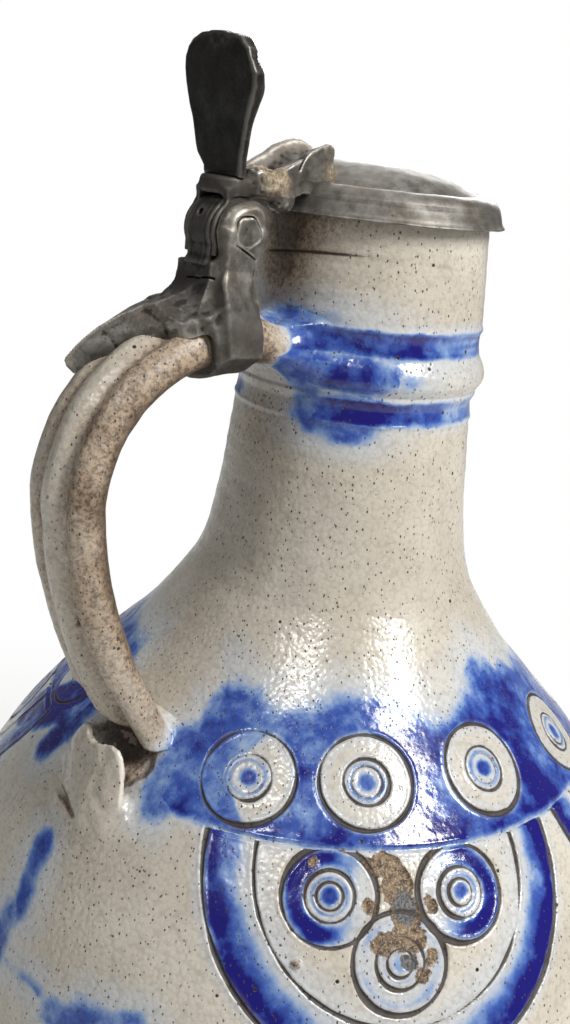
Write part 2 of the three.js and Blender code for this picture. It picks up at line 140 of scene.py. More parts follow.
def write_marks(mesh, values):
    """Put values for shading on a mesh's points."""
    for key, value in values.items():
        layer = mesh.attributes.new(key, "FLOAT", "POINT")
        layer.data.foreach_set("value", np.asarray(np.broadcast_to(value, len(mesh.vertices)), np.float32))


def net(index):
    """The four-cornered faces between rows of point numbers."""
    return np.stack([index[:-1, :-1], index[1:, :-1], index[1:, 1:], index[:-1, 1:]], -1).reshape(-1, 4)


def lay(name, points, faces, values, material, body, normals=None):
    """A finished piece: its mesh in metres, its shading values, finish, body and material slot."""
    mesh = bpy.data.meshes.new(name)
    mesh.vertices.add(len(points))
    mesh.vertices.foreach_set("co", (np.asarray(points, np.float32) * 0.001).ravel())
    faces = np.asarray(faces, np.int32)
    mesh.loops.add(faces.size)
    mesh.loops.foreach_set("vertex_index", faces.ravel())
    mesh.polygons.add(len(faces))
    mesh.polygons.foreach_set("loop_start", np.arange(0, faces.size, faces.shape[1], dtype=np.int32))
    mesh.update(calc_edges=True)
    mesh.polygons.foreach_set("use_smooth", np.ones(len(faces), bool))
    write_marks(mesh, values)
    if normals is not None:
        mesh.normals_split_custom_set_from_vertices(np.asarray(normals, np.float32))
    mesh.materials.append(material)
    piece = put(name, mesh)
    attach(piece, body)
    return piece


def skin(distance, low, size):
    """The surface of a solid from its distances on a grid: one point a cell, one face an edge."""
    inside = distance < 0
    count = np.array(distance.shape) - 1

    def at(values, corner):
        """Each cell's value at one of its corners."""
        return values[tuple(slice(c, c + n) for c, n in zip(corner, count))]

    filled = sum(at(inside, c).astype(np.int8) for c in CORNERS)
    cells = (filled > 0) & (filled < 8)
    number = np.full(cells.shape, -1, np.int64)
    number[cells] = np.arange(cells.sum())
    places = np.argwhere(cells).astype(float)
    total = np.zeros_like(places)
    hits = np.zeros(len(places))
    for corner in CORNERS:
        for axis in range(3):
            if corner[axis]:
                continue
            other = tuple(1 if i == axis else c for i, c in enumerate(corner))
            a, b = at(distance, corner)[cells], at(distance, other)[cells]
            crossed = (a < 0) != (b < 0)
            point = places + corner
            point[:, axis] += np.where(crossed, a / np.where(crossed, a - b, 1), 0)
            total[crossed] += point[crossed]
            hits += crossed
    points = total / hits[:, None] * size + np.array(low)
    faces = []
    for axis in range(3):
        u, v = (axis + 1) % 3, (axis + 2) % 3
        lower = tuple(slice(0, n) if i == axis else slice(1, n) for i, n in enumerate(count))
        upper = tuple(slice(1, n + 1) if i == axis else slice(1, n) for i, n in enumerate(count))
        a, b = inside[lower], inside[upper]
        spots = np.argwhere(a != b)
        spots[:, u] += 1
        spots[:, v] += 1
        leaving = a[a != b]
        move_u, move_v = np.eye(3, dtype=int)[u], np.eye(3, dtype=int)[v]
        ring = [spots - move_u - move_v, spots - move_v, spots, spots - move_u]
        quad = np.stack([number[tuple(r.T)] for r in ring], 1)
        quad[~leaving] = quad[~leaving][:, ::-1]
        faces.append(quad)
    return points, np.vstack(faces)


def sample(values, points, low, size):
    """Values on a grid, read between its points."""
    places = (points - np.array(low)) / size
    base = np.clip(np.floor(places).astype(int), 0, np.array(values.shape) - 2)
    share = places - base
    total = 0.0
    for corner in CORNERS:
        weight = np.prod(np.where(corner, share, 1 - share), axis=1)
        total += values[tuple((base + corner).T)] * weight
    return total


def evened(distance, size):
    """Distances scaled so that they grow by one millimetre a millimetre."""
    slope = np.sqrt(sum(g**2 for g in np.gradient(distance, size)))
    return distance / np.clip(slope, 0.35, None)


def curvature(distance, size, reach):
    """How much the surface bulges, from -1 in a hollow to 1 on an edge."""
    total = -6 * distance
    for axis in range(3):
        total = total + np.roll(distance, reach, axis) + np.roll(distance, -reach, axis)
    return np.clip(total / (reach * size), -1, 1)


def cast(name, low, high, size, distance_of, material, body, marks, shown=None):
    """A cast piece from a function that gives the distance to it, with its worn edges marked."""
    axes = [np.arange(a, b + size, size) for a, b in zip(low, high)]
    distance = distance_of(*np.meshgrid(*axes, indexing="ij"))
    points, faces = skin(distance, low, size)
    bulge = 0.55 * curvature(distance, size, 2) + 0.45 * curvature(distance, size, 5)
    edge = sample(bulge, points, low, size)
    if shown is not None:
        faces = faces[shown(points)[faces].any(axis=1)]
        kept, faces = np.unique(faces, return_inverse=True)
        faces = faces.reshape(-1, 4)
        points, edge = points[kept], edge[kept]
    values = marks(points) if callable(marks) else marks
    return lay(name, points, faces, {"edge": edge, **values}, material, body)


# Finishes: a socket that works like a number, and a maker of nodes.

def paint(red, green, blue):
    """A colour written as seen on paper, 0 to 255, as the renderer's linear light."""
    share = [c / 255 for c in (red, green, blue)]
    return tuple(c / 12.92 if c <= 0.04045 else ((c + 0.055) / 1.055) ** 2.4 for c in share) + (1.0,)


def maths(operation, swapped=False):
    """A way of a signal to work with another signal or number."""
    def work(self, other):
        return self.finish.math(operation, *((other, self) if swapped else (self, other)))
    return work


class Signal:
    """A shader value that adds, multiplies and compares like a number."""

    __add__ = __radd__ = maths("ADD")
    __sub__, __rsub__ = maths("SUBTRACT"), maths("SUBTRACT", True)
    __mul__ = __rmul__ = maths("MULTIPLY")
    most = maths("MAXIMUM")

    def __init__(self, finish, socket):
        self.finish = finish
        self.socket = socket

    def between(self, low, high):
        """0 below low, 1 above high, and a smooth rise between."""
        settings = {"interpolation_type": "SMOOTHSTEP"}
        values = {"Value": self, "From Min": low, "From Max": high}
        return self.finish.node("ShaderNodeMapRange", settings, values, "Result")


def new_node(tree, kind, settings, inputs):
    """Any node: its settings first, then the values or links of its sockets."""
    node = tree.nodes.new(kind)
    for key, value in settings.items():
        setattr(node, key, value)
    sockets = {s.identifier: s for s in node.inputs}
    for key, value in inputs.items():
        socket = sockets[key] if key in sockets else node.inputs[key]
        if isinstance(value, bpy.types.NodeSocket):
            tree.links.new(value, socket)
        else:
            socket.default_value = value
    return node


class Finish:
    """A material and the nodes in it."""

    def __init__(self, name):
        self.material = bpy.data.materials.new(name)
        self.material.use_nodes = True
        self.tree = self.material.node_tree
        self.tree.nodes.clear()
        self.shader = self.tree.nodes.new("ShaderNodeBsdfPrincipled")
        self.output = self.tree.nodes.new("ShaderNodeOutputMaterial")
        self.tree.links.new(self.shader.outputs["BSDF"], self.output.inputs["Surface"])
        self.place = self.node("ShaderNodeTexCoord", {}, {}, "Object")

    def node(self, kind, settings, inputs, output=0):
        """A node's output as a signal, where signals may also go in."""
        node = new_node(self.tree, kind, settings, {k: getattr(v, "socket", v) for k, v in inputs.items()})
        found = {s.identifier: s for s in node.outputs}
        return Signal(self, found[output] if output in found else node.outputs[output])

    def math(self, operation, *values):
        return self.node("ShaderNodeMath", {"operation": operation}, dict(enumerate(values)))

    def mark(self, name):
        """A value that the mesh carries."""
        return self.node("ShaderNodeAttribute", {"attribute_name": name}, {}, "Fac")

    def noise(self, size, detail=2.0, roughness=0.5):
        """Soft noise from 0 to 1 of a size in millimetres."""
        inputs = {"Vector": self.place, "Scale": 1000 / size, "Detail": detail, "Roughness": roughness}
        return self.node("ShaderNodeTexNoise", {}, inputs, "Fac")

    def cells(self, size, output="Distance", feature="F1", flat=1.0):
        """Random cells of a size in millimetres."""
        place = self.place
        if flat != 1.0:
            place = self.node("ShaderNodeMapping", {}, {"Vector": place, "Scale": (1, 1, flat)}, "Vector")
        inputs = {"Vector": place, "Scale": 1000 / size}
        if feature == "SMOOTH_F1":
            inputs["Smoothness"] = 0.6
        return self.node("ShaderNodeTexVoronoi", {"feature": feature}, inputs, output)

    def lots(self, size, flat=1.0):
        """A random number from 0 to 1 for each cell."""
        return self.node("ShaderNodeSeparateColor", {}, {"Color": self.cells(size, "Color", flat=flat)}, "Red")

    def mix(self, share, a, b):
        """A colour between two colours."""
        settings = {"data_type": "RGBA", "clamp_factor": True}
        return self.node("ShaderNodeMix", settings, {"Factor_Float": share, "A_Color": a, "B_Color": b},
                         "Result_Color")

    def over(self, shade, *coats):
        """A colour under coats: how much of each shows, and its red, green and blue."""
        for share, tint in coats:
            shade = self.mix(share, shade, paint(*tint))
        return shade

    def relief(self, height, depth):
        """A bump of the given depth in millimetres."""
        return self.node("ShaderNodeBump", {}, {"Height": height, "Distance": depth * 0.001, "Strength": 1.0},
                         "Normal")

    def feed(self, **sockets):
        names = {s.name.replace(" ", "_").lower(): s for s in self.shader.inputs}
        for key, value in sockets.items():
            if isinstance(value, Signal):
                self.tree.links.new(value.socket, names[key])
            else:
                names[key].default_value = value
        return self.material


# The stoneware wall.

PROFILE = [
    (336.3, 28.6), (336.4, 29.4), (335.6, 30.3), (333.5, 30.8), (330.9, 31.1), (326.0, 31.4), (318.6, 32.0),
    (311.1, 32.6), (307.8, 32.9), (306.4, 33.2), (305.2, 32.6), (303.1, 32.5), (300.3, 32.8), (299.0, 33.2),
    (297.4, 34.2), (295.0, 35.0), (292.8, 35.0), (290.9, 34.0), (289.9, 33.3), (289.0, 33.5), (287.8, 33.0),
    (286.3, 32.6), (283.3, 32.9), (282.3, 33.3), (281.2, 33.0), (279.6, 33.05), (277.3, 33.2), (269.2, 34.0),
    (257.1, 35.15), (245.2, 37.05), (239.2, 38.5), (233.3, 40.8), (227.5, 44.3), (221.7, 48.3), (215.9, 52.7),
    (210.2, 57.8), (204.5, 63.6), (198.8, 69.3), (193.4, 74.8), (188.3, 80.0), (180.0, 86.6), (170.0, 93.7),
    (158.0, 100.6), (145.0, 106.2), (130.0, 110.2), (115.0, 111.5), (99.0, 110.6), (82.0, 107.2), (63.0, 101.2),
    (48.0, 94.2), (34.0, 85.8), (22.0, 76.2), (14.0, 67.5), (10.5, 63.2), (8.8, 62.6), (7.2, 63.2), (4.5, 63.7),
    (2.0, 63.6), (0.6, 63.0), (0.2, 62.0),
]
wall_line, wall_down = curve(PROFILE, 0.2)


def turned(radius, turn, height):
    """Points round the jug's axis."""
    x, y = -radius * np.cos(turn), -radius * np.sin(turn)
    return np.stack([x, y, np.broadcast_to(height, x.shape)], -1)


def radius_at(height):
    return np.interp(height, wall_line[::-1, 0], wall_line[::-1, 1])


def down_at(height):
    """How far down the wall's surface a height lies."""
    return np.interp(-np.asarray(height), -wall_line[:, 0], wall_down)


def on_wall(degrees, height, out=0.0):
    """A point on the wall: degrees run from the handle round by the near side."""
    return turned(radius_at(height) + out, np.radians(degrees), height)


def round_from(degrees, middle):
    """Degrees between two places on the wall, from -180 to 180."""
    return (degrees - middle + 180) % 360 - 180


# Ornament scored with a compass and painted with cobalt.

TOP_ROW = [(30.8, -91.7), (55.6, -89.9), (85.0, -90.1), (119.3, -93.3), (150, -92), (180, -91), (210, -92),
           (240, -91.5), (270, -91), (300, -92), (329, -91.5)]
PANELS = [60.0, 132.0, 228.0, 300.0]
PANEL_CIRCLES = [(-11.3, -110.3), (10.9, -110.6), (-0.4, -122.6)]
FRONT_CIRCLES = [(180.0, -116.0), (180.0, -141.0)]
CIRCLE = 12.1
PANEL_LOW = -106.0
PANEL_RINGS = [(47.5, 0.9), (35.0, 0.65)]
NECK_BANDS = [(9.9, 17.0, 9.0), (-7.6, -0.8, 14.5)]
POCKET_LOW = -97.2
NECK_PATCHES = [(12, 17.6, 24, 3.6, 0.42), (39, 5.2, 25, 4.4, 0.66), (32, 8.4, 18, 1.3, 0.95), (17, 8, 8, 9, 0.5),
                (38, -6.4, 22, 6.4, 0.55), (23, -4, 8, 6, 0.4), (66, 4.6, 6, 2.5, 0.25)]


def score(line, distance, rings, where=True, unit=1.0):
    """The distance to the nearest scored line, with rings of (radius in units, width) added to the others."""
    for share, width in rings:
        radius = unit * share
        line = np.where(where, lowest(line, np.abs(distance - radius) - width / 2), line)
    return line


def from_wall(points, degrees, height):
    """How far points lie from a place on the wall."""
    return np.linalg.norm(points - on_wall(degrees, height), axis=1)


def ornament(points, degrees, height):
    """Millimetres to the scored lines, into the cobalt and to the groove, and how strong the cobalt is."""
    line = np.full(len(points), 6.0)
    level = height - RING
    under = (GROOVE - height) * 1.25
    handle_side = np.abs(round_from(degrees, 0)) * math.pi / 180 * radius_at(height)
    drift = rough(*points.T, 22, 3) * 3.2 + rough(*points.T, 7, 5)
    top = 32.5 + 2.4 * np.sin(np.radians(degrees * 7.3 + 40)) + 6.5 * bump(round_from(degrees, 97), 0, 12)
    cobalt = lowest(-under * 1.8, (top + under) * 0.55) + drift * np.where(-under > 8, 1.0, 0.15)
    cobalt = lowest(cobalt, (handle_side - 16) * 0.8 + drift)
    strength = 0.6 + 0.26 * rough(*points.T, 13, 8) + 0.24 * step(-under, 8, 1)
    strength = strength + 0.14 * bump(round_from(degrees, 97), 0, 16) - 0.06 * step(handle_side, 44, 26)
    for place, (turn, low) in enumerate(TOP_ROW):
        distance = from_wall(points, turn, RING + low)
        left = step(round_from(degrees, turn), 3.0, -4.0) if place == 0 else 0.0
        rings = [(share, width - 0.5 * left) for share, width in ((1.0, 0.95), (0.49, 0.6), (0.33, 0.15))]
        line = score(line, distance, rings, distance < 40, CIRCLE)
        ring = (distance - CIRCLE) * 1.8 + 16 * left
        cobalt = np.where(distance < CIRCLE + 8, lowest(cobalt, ring), cobalt)
        strength = np.where(distance < CIRCLE, strength - 0.05 * left, strength)
        middle = highest(2.5 - distance, 0.75 - np.abs(distance - 4.4)) * 2.2
        cobalt = highest(cobalt, middle)
        strength = np.where(distance < 3.2, 0.62, np.where(distance < 6, 0.42, strength))
    for turn in PANELS:
        distance = from_wall(points, turn, RING + PANEL_LOW)
        side = under > 0.2
        near = side & (distance < 60)
        line = score(line, distance, PANEL_RINGS, near)
        ring = lowest((47.2 - distance) * 2, (distance - 36.5) * 0.8 + 0.6 * drift)
        cobalt = np.where(near, highest(cobalt, ring), cobalt)
        deep = 0.14 + 0.38 * step(distance, 35.5, 42) + 0.56 * step(distance + 0.5 * drift, 41, 45.5)
        strength = np.where(near & (distance > 34), deep, strength)
        for index, (across, low) in enumerate(PANEL_CIRCLES):
            spot = from_wall(points, turn + across, RING + low)
            hole = side & (spot < 30)
            line = score(line, spot, ((0.97, 1.15), (0.5, 0.65), (0.27, 0.5)), hole, CIRCLE)
            outward = round_from(degrees, turn + across) * np.sign(across)
            if index < 2:
                crescent = lowest(CIRCLE * 0.93 - spot, spot - CIRCLE * 0.53) * 1.6
                crescent = lowest(crescent, outward + 4.4 + drift * 0.4)
                weight = 0.4 + 0.68 * step(outward, -3, 3)
            else:
                crescent = lowest(CIRCLE * 0.93 - spot, spot - CIRCLE * 0.66) - 0.6
                weight = 0.34
            cobalt = np.where(hole & (spot < CIRCLE), highest(-3, crescent), cobalt)
            strength = np.where(hole & (spot < CIRCLE), weight, strength)
            dot = highest(2.4 - spot, 0.5 - np.abs(spot - 4.3)) * 2.2
            cobalt = np.where(hole & (spot < 5.2), dot, cobalt)
            strength = np.where(hole & (spot < 5.2), 0.6 if index < 2 else 0.22, strength)
    for turn, low in FRONT_CIRCLES:
        distance = from_wall(points, turn, RING + low)
        line = score(line, distance, ((1.0, 0.95), (0.49, 0.6), (0.33, 0.2)), unit=CIRCLE)
        ring = lowest(CIRCLE * 0.95 - distance, distance - CIRCLE * 0.52)
        near = distance < CIRCLE + 1
        cobalt = np.where(near, highest(ring, 2.6 - distance), cobalt)
        strength = np.where(near, 0.7, strength)
    groove = np.abs(height - GROOVE) * 1.25 - 0.7 + 6 * step(handle_side, 40, 32)
    for turn, low, wide, tall, amount in NECK_PATCHES:
        patch = 1 - np.hypot(round_from(degrees, turn) / wide, (level - low) / tall)
        patch = patch * tall + 0.5 * drift
        strength = np.where(patch > highest(cobalt, -2), amount + 0.1 * drift / 3, strength)
        cobalt = highest(cobalt, patch)
    for low, high, first in NECK_BANDS:
        band = lowest(level - low, high - level) * 2.2
        band = lowest(band, (handle_side - first) * 0.7 + 0.4 * drift)
        streaks = 0.16 * grain(*(points * [0.07, 0.07, 1]).T, 1.1, 19) + 0.1 * rough(*points.T, 10, 23)
        band_strength = 0.44 + 0.6 * step(handle_side, 58, 24) + streaks
        begun = step(handle_side, first - 1, first + 8)
        strength = np.where(band > np.where(cobalt > 0, 0.5, -2), strength + (band_strength - strength) * begun,
                            strength)
        cobalt = highest(cobalt, band)
    return line, cobalt, strength, groove


def strokes(points):
    """Loose brush strokes of thin cobalt under the handle and beside its foot."""
    paths = [
        [(14.2, -88.5), (15.2, -95), (15.2, -101)], [(-1.5, -119.5), (-0.6, -127), (0.2, -134)],
        [(-1.5, -136), (-1.0, -146)], [(-1, -146), (9, -147)], [(12.5, -150), (17, -147), (24, -144.5)],
        [(-15.5, -91), (-17, -105)], [(-22, -94), (-27, -99), (-34, -108)], [(-31, -122), (-27, -136)],
        [(34, -152), (42, -158)],
    ]
    widths = [5.5, 4.2, 4.2, 1.4, 4.8, 5.0, 8.5, 4.5, 4.0]
    wobble = rough(*points.T, 9, 12) * 2.0
    inside = np.full(len(points), -8.0)
    for path, width in zip(paths, widths):
        for (a, b), (c, d) in zip(path, path[1:]):
            first, last = on_wall(a, RING + b), on_wall(c, RING + d)
            along = last - first
            share = np.clip((points - first) @ along / (along @ along), 0, 1)
            distance = np.linalg.norm(points - first - share[:, None] * along, axis=1)
            inside = highest(inside, width - distance + wobble)
    return inside


def wall_surface(degrees, down):
    """The wall's points and all that is marked on them, from places given round and down the surface."""
    height = np.interp(down, wall_down, wall_line[:, 0])
    radius = np.interp(down, wall_down, wall_line[:, 1])
    ahead = np.interp(down + 0.3, wall_down, wall_line[:, 0]) - height
    wider = np.interp(down + 0.3, wall_down, wall_line[:, 1]) - radius
    size = np.hypot(ahead, wider) + 1e-9
    turn = np.radians(degrees)
    points = turned(radius, turn, height)
    out = turned(-ahead / size, turn, wider / size)
    line, cobalt, strength, groove = ornament(points, degrees, height)
    loose = strokes(points)
    pale = 0.56 + 0.12 * rough(*points.T, 8, 37) + 0.45 * step(round_from(degrees, 0), -9, -17)
    strength = np.where((loose > cobalt) & (loose > -2), pale, strength)
    cobalt = highest(cobalt, loose)
    level = height - RING
    x, y, z = points.T
    even = step(height, 0.5, 6) * step(RIM - height, 0.3, 3)
    shift = 0.045 * np.sin(height * 1.18 + 2 * grain(x, y, z, 30, 2)) * step(level, -75, -30)
    shift = shift + 0.30 * rough(x, y, z, 26, 6) + 0.07 * rough(x, y, z, 4.5, 9)
    shift -= 0.34 * step(height, 240, 180)
    line = line + 0.12 * rough(x, y, z, 3.2, 14) + 0.5 * rough(x, y, z, 15, 18)
    cut = lowest(line, groove + 0.2)
    shift = shift * even - 0.55 * step(cut, 0.25, -0.35) + 0.1 * bump(cut, 0.6, 0.35)
    tool = np.abs(level - 34.5 + 0.0007 * round_from(degrees, 44) ** 2) - 0.26
    tool = tool + 0.6 * step(np.abs(round_from(degrees, 12)), 18, 38) + 0.12 * rough(x, y, z, 4, 16)
    shift -= 0.2 * step(tool, 0.3, -0.3)
    chip, clay, shift = worn_panel(points, shift)
    away = np.abs(round_from(degrees, 0))
    # Stain by the handle and along the top of the neck: partly brown staining, partly painted shade under the lid, the
    # mount and the handle's root.
    stain_and_shade = 0.4 * step(away, 75, 15) * step(level, 32, 45) + 0.4 * step(away, 9, 2) * step(level, 30, 40)
    stain_and_shade += 0.9 * step(away, 30, 0) * step(level, 12, 30) * (0.85 + 0.35 * rough(x, y, z, 9, 21))
    stain_and_shade += 0.34 * step(away, 80, 20) * step(level, 14, 40) * (0.8 + 0.6 * rough(x, y, z, 14, 25))
    stain_and_shade = stain_and_shade + 0.45 * step(away, 36, 4) * bump(level, -12, 24) + 0.25 * step(tool, 1.2, -0.2)
    stain_and_shade += 0.3 * step(away, 34, 8) * bump(level, -116, 9)
    leant = points + np.outer(level - POCKET_LOW, [0, 0.32, 0])
    hollow = np.linalg.norm((leant - on_wall(0.0, RING + POCKET_LOW)) / [11.5, 14.5, 9.8], axis=1)
    hollow += 0.1 * rough(x, y, z, 4, 26)
    deeper = np.linalg.norm((points - on_wall(-3.0, RING - 94.5)) / [9, 13, 5.0], axis=1)
    shift = shift - 1.3 * step(hollow, 1.0, 0.8) - 2.2 * step(deeper, 1.0, 0.4)
    shift += 0.8 * step(hollow, 1.0, 0.6) * rough(x, y, z, 3.0, 27)
    stain_and_shade = stain_and_shade + 0.75 * step(hollow, 1.06, 0.95) + 0.5 * step(deeper, 1.3, 0.6)
    values = {
        "line": lowest(line, tool), "cobalt": lowest(cobalt, (hollow - 1) * 12), "strength": strength,
        "stain_and_shade": np.clip(stain_and_shade, 0, 1.3), "chip": chip, "clay": clay,
    }
    return points + out * shift[:, None], values


def worn_panel(points, shift):
    """The flaked patch between the circles of the near panel, down to bare clay."""
    x, y, z = points.T
    ragged = 0.34 * rough(x, y, z, 4.2, 31) + 0.24 * rough(x, y, z, 1.5, 33)
    inside = np.full(len(points), -3.0)
    spots = ((58.0, -104.4, 5.2, 2.4), (59.8, -108.2, 4.4, 4.0), (61.0, -113.6, 3.9, 5.6), (60.4, -118.4, 6.0, 2.6),
             (60.9, -122.6, 2.6, 2.4), (55.4, -112.0, 1.9, 1.6), (65.4, -112.0, 2.4, 1.9), (57.0, -119.0, 2.6, 2.8),
             (64.6, -121.4, 1.8, 4.0), (62.8, -125.2, 2.4, 1.4),
             (44.6, -123.6, 1.9, 1.4), (50.2, -101.9, 3.4, 0.9), (45.6, -104.5, 1.2, 2.2), (66.5, -103.4, 0.9, 2.2))
    for turn, low, wide, tall in spots:
        centre = on_wall(turn, RING + low)
        across = np.linalg.norm((points - centre)[:, :2], axis=1)
        gap = 1 - np.hypot(across / wide, (z - centre[2]) / tall)
        inside = highest(inside, gap * min(wide, tall) / 3.0)
    inside += ragged
    floor = step(inside, 0.02, 0.3)
    shift -= floor * (0.55 + 0.2 * rough(x, y, z, 1.6, 35))
    core = on_wall(61.0, RING - 112.6)
    clay = np.hypot((z - core[2]) / 5.6, np.linalg.norm((points - core)[:, :2], axis=1) / 3.1)
    low_core = on_wall(60.8, RING - 122.8)
    clay = lowest(clay, np.linalg.norm(points - low_core, axis=1) / 2.6)
    pebble = np.linalg.norm(points - on_wall(44.6, RING - 123.3, 0.3), axis=1)
    shift += 1.1 * step(pebble, 1.5, 0.6)
    return np.clip(inside * 3, -3, 3), 1.12 - clay + 0.8 * ragged, shift


def wall_piece(name, first, last, columns, rows, sectors, material):
    """A band of the wall from one distance down its surface to another, in one or more sectors."""
    down = np.linspace(first, last, rows + 1)
    spare = down[1] - down[0]
    down = np.concatenate([[max(down[0] - spare, 0)], down, [min(down[-1] + spare, wall_down[-1])]])
    degrees = np.arange(columns) * 360 / columns
    all_degrees, all_down = np.meshgrid(degrees, down)
    points, values = wall_surface(all_degrees.ravel(), all_down.ravel())
    shape = all_down.shape
    points = points.reshape(shape + (3,))
    around = np.roll(points, -1, 1) - np.roll(points, 1, 1)
    below = np.empty_like(points)
    below[1:-1] = points[2:] - points[:-2]
    below[0], below[-1] = below[1], below[-2]
    normals = np.cross(below, around)
    normals /= np.linalg.norm(normals, axis=2, keepdims=True) + 1e-12
    if np.mean(np.sum(normals[..., :2] * points[..., :2], -1)) < 0:
        normals = -normals
    width = columns // sectors
    for sector in range(sectors):
        take = np.arange(sector * width, (sector + 1) * width + 1) % columns
        part = points[1:-1][:, take].reshape(-1, 3)
        marks = {k: v.reshape(shape)[1:-1][:, take].ravel() for k, v in values.items()}
        outward = normals[1:-1][:, take].reshape(-1, 3)
        index = np.arange(len(part)).reshape(rows + 1, width + 1)
        label = name if sectors == 1 else f"{name}_{sector + 1}"
        lay(label, part, net(index), marks, material, "jug", outward)


def salt_glaze():
    """Grey stoneware under salt glaze, with cobalt, scored lines, pits, stains with painted shade and highlight, and
    chips.
    """
    f = Finish("salt_glaze")
    broad, cloudy, fine = f.noise(48, 3), f.noise(9, 4, 0.6), f.noise(1.3, 3, 0.65)
    tiny = f.noise(0.55, 2, 0.6)
    peel = f.cells(1.25, feature="SMOOTH_F1")
    speck, lot = f.cells(1.05, flat=0.62), f.lots(1.05, flat=0.62)
    pit = (speck - lot * 0.14).between(0.15, 0.04) * lot.between(0.2, 0.5) * broad.between(0.15, 0.55)
    blob = f.cells(7.5).between(0.085, 0.05) * f.lots(7.5).between(0.62, 0.7)
    stain_and_shade, chip, clay = f.mark("stain_and_shade"), f.mark("chip"), f.mark("clay")
    wander = (f.noise(6.5, 5, 0.62) - 0.5) * 4.5 + (fine - 0.5) * 0.9
    cover = (f.mark("cobalt") + wander).between(-1.6, 3.2)
    pooled = f.noise(11, 4, 0.6).between(0.32, 0.68)
    streak = f.noise(3.2, 3, 0.6).between(0.35, 0.7)
    amount = cover * f.mark("strength") * (pooled * 0.6 + streak * 0.24 + 0.48)
    near_blue = (f.mark("cobalt") + (cloudy - 0.5) * 6).between(-9.0, 0.0)
    clean = f.mix(broad.between(0.38, 0.66), paint(200, 194, 182), paint(184, 176, 162))
    clean = f.over(clean, (cloudy.between(0.4, 0.8) * 0.5, (166, 156, 140)), (near_blue * 0.7, (184, 191, 199)),
                   (peel.between(0.4, 0.8) * 0.26, (140, 128, 110)), (tiny.between(0.5, 0.75) * 0.3, (150, 136, 116)))
    warm = f.mix(fine.between(0.35, 0.65), paint(150, 118, 82), paint(82, 62, 42))
    grains = (fine * 0.5 + tiny * 0.5).between(0.42, 0.6) * 0.35 + cloudy * 0.4
    clean = f.mix(stain_and_shade.between(0.0, 1.05) * (grains + 0.42), clean, warm)
    # Past 0.75 the stain field turns to a darkest coat, partly deep staining and partly painted shade under the lid,
    # by the mount, on the strap's inner face and in the stump's crease. Below nought it turns pale: a painted
    # highlight on the stump's broken rim.
    clean = f.over(clean, (stain_and_shade.between(0.75, 1.25) * 0.75, (56, 41, 28)),
                   (stain_and_shade.between(-0.1, -0.9) * 0.8, (228, 222, 210)))
    blue = f.over(clean, (amount.between(0.0, 0.34), (114, 142, 186)), (amount.between(0.2, 0.56), (50, 78, 154)),
                  (amount.between(0.48, 0.85), (20, 17, 104)))
    line = f.mark("line") + (fine - 0.5) * 0.3
    scored = line.between(0.28, -0.02)
    halo = line.between(1.4, 0.2) * cloudy.between(0.45, 0.65) * 0.3
    dirt = f.over(blue, (halo, (120, 102, 78)), (scored * (cloudy * 0.3 + 0.8), (44, 33, 26)),
                  ((pit * (lot * 0.5 + 0.45)).most(blob), (46, 35, 26)))
    broken = (chip + (fine - 0.5) * 1.1).between(-0.1, 0.3)
    bare = f.mix(fine.between(0.35, 0.65), paint(138, 116, 92), paint(66, 52, 40))
    bare = f.mix(tiny.between(0.52, 0.66) * 0.6, bare, paint(184, 168, 142))
    core = f.mix(tiny.between(0.4, 0.6), paint(66, 66, 68), paint(112, 111, 110))
    bare = f.mix((clay + (fine - 0.5) * 0.5).between(0.1, 0.3), bare, core)
    shade = f.mix(broken * (1 - scored * 0.55), dirt, bare)
    gloss = (cloudy * 0.2 + broad * 0.14 + 0.04 - amount * 0.06
             + stain_and_shade.between(0.0, 1.0) * 0.25 + scored * 0.45 + broken * 0.6 + pit * 0.3)
    height = ((0.75 - peel) * (0.6 - cover * 0.42) + f.noise(5.5, 2) * 1.1 + fine * (0.26 - cover * 0.14)
              + tiny * 0.1 - pit * 0.9 - blob * 0.6 + broken * (fine * 1.9 + tiny * 0.6))
    return f.feed(base_color=shade, roughness=gloss, normal=f.relief(height, 0.17), ior=1.52)


PLAIN = {"line": 6.0, "cobalt": -8.0, "strength": 0.0, "stain_and_shade": 0.0, "chip": -3.0, "clay": -3.0}
HOLLOW = [(336.3, 28.6), (335.4, 28.0), (333, 27.7), (300, 27.6), (262, 28.4), (246, 30.6), (236, 34.4),
          (226, 40.5), (212, 51.5), (196, 67), (182, 79), (165, 91), (140, 101.5), (115, 105.4), (88, 103),
          (62, 95), (40, 83.5), (24, 70), (14, 55), (9.5, 40), (8, 20), (8, 0)]
FOOT = [(0.2, 62.0), (0.05, 61.0), (0.0, 59.5), (0.0, 30), (0.0, 0)]


def lathe(name, section, columns, glaze, stain_and_shade):
    """A turned face of the jug from a section of (height, radius), never below the table."""
    line, _ = curve(section, 2.0)
    height, radius = np.clip(line, 0, None).T
    points = turned(radius[:, None], np.arange(columns) * 2 * math.pi / columns, height[:, None]).reshape(-1, 3)
    index = np.arange(len(points)).reshape(len(line), columns)
    index = np.concatenate([index, index[:, :1]], 1)
    lay(name, points, net(index), {**PLAIN, "stain_and_shade": stain_and_shade}, glaze, "jug")


# The strap handle and its broken curled end.

ARCH = (52.3, 262.5, 38.5)


def handle_path():
    """The middle line of the strap as (reach from the axis, height), from the neck to the shoulder."""
    reach, height, radius = ARCH
    points = [(24.0, 298.0), (31.0, 299.3), (43.2, 300.6)]
    for turn in range(0, 91, 15):
        angle = math.radians(turn)
        points.append((reach + radius * math.sin(angle), height + radius * math.cos(angle)))
    for share in (0.22, 0.42, 0.62, 0.82, 1.0, 1.12, 1.24):
        points.append((90.8 - 21.8 * share**1.65, height - 63 * share))
    return curve(points, 0.4)


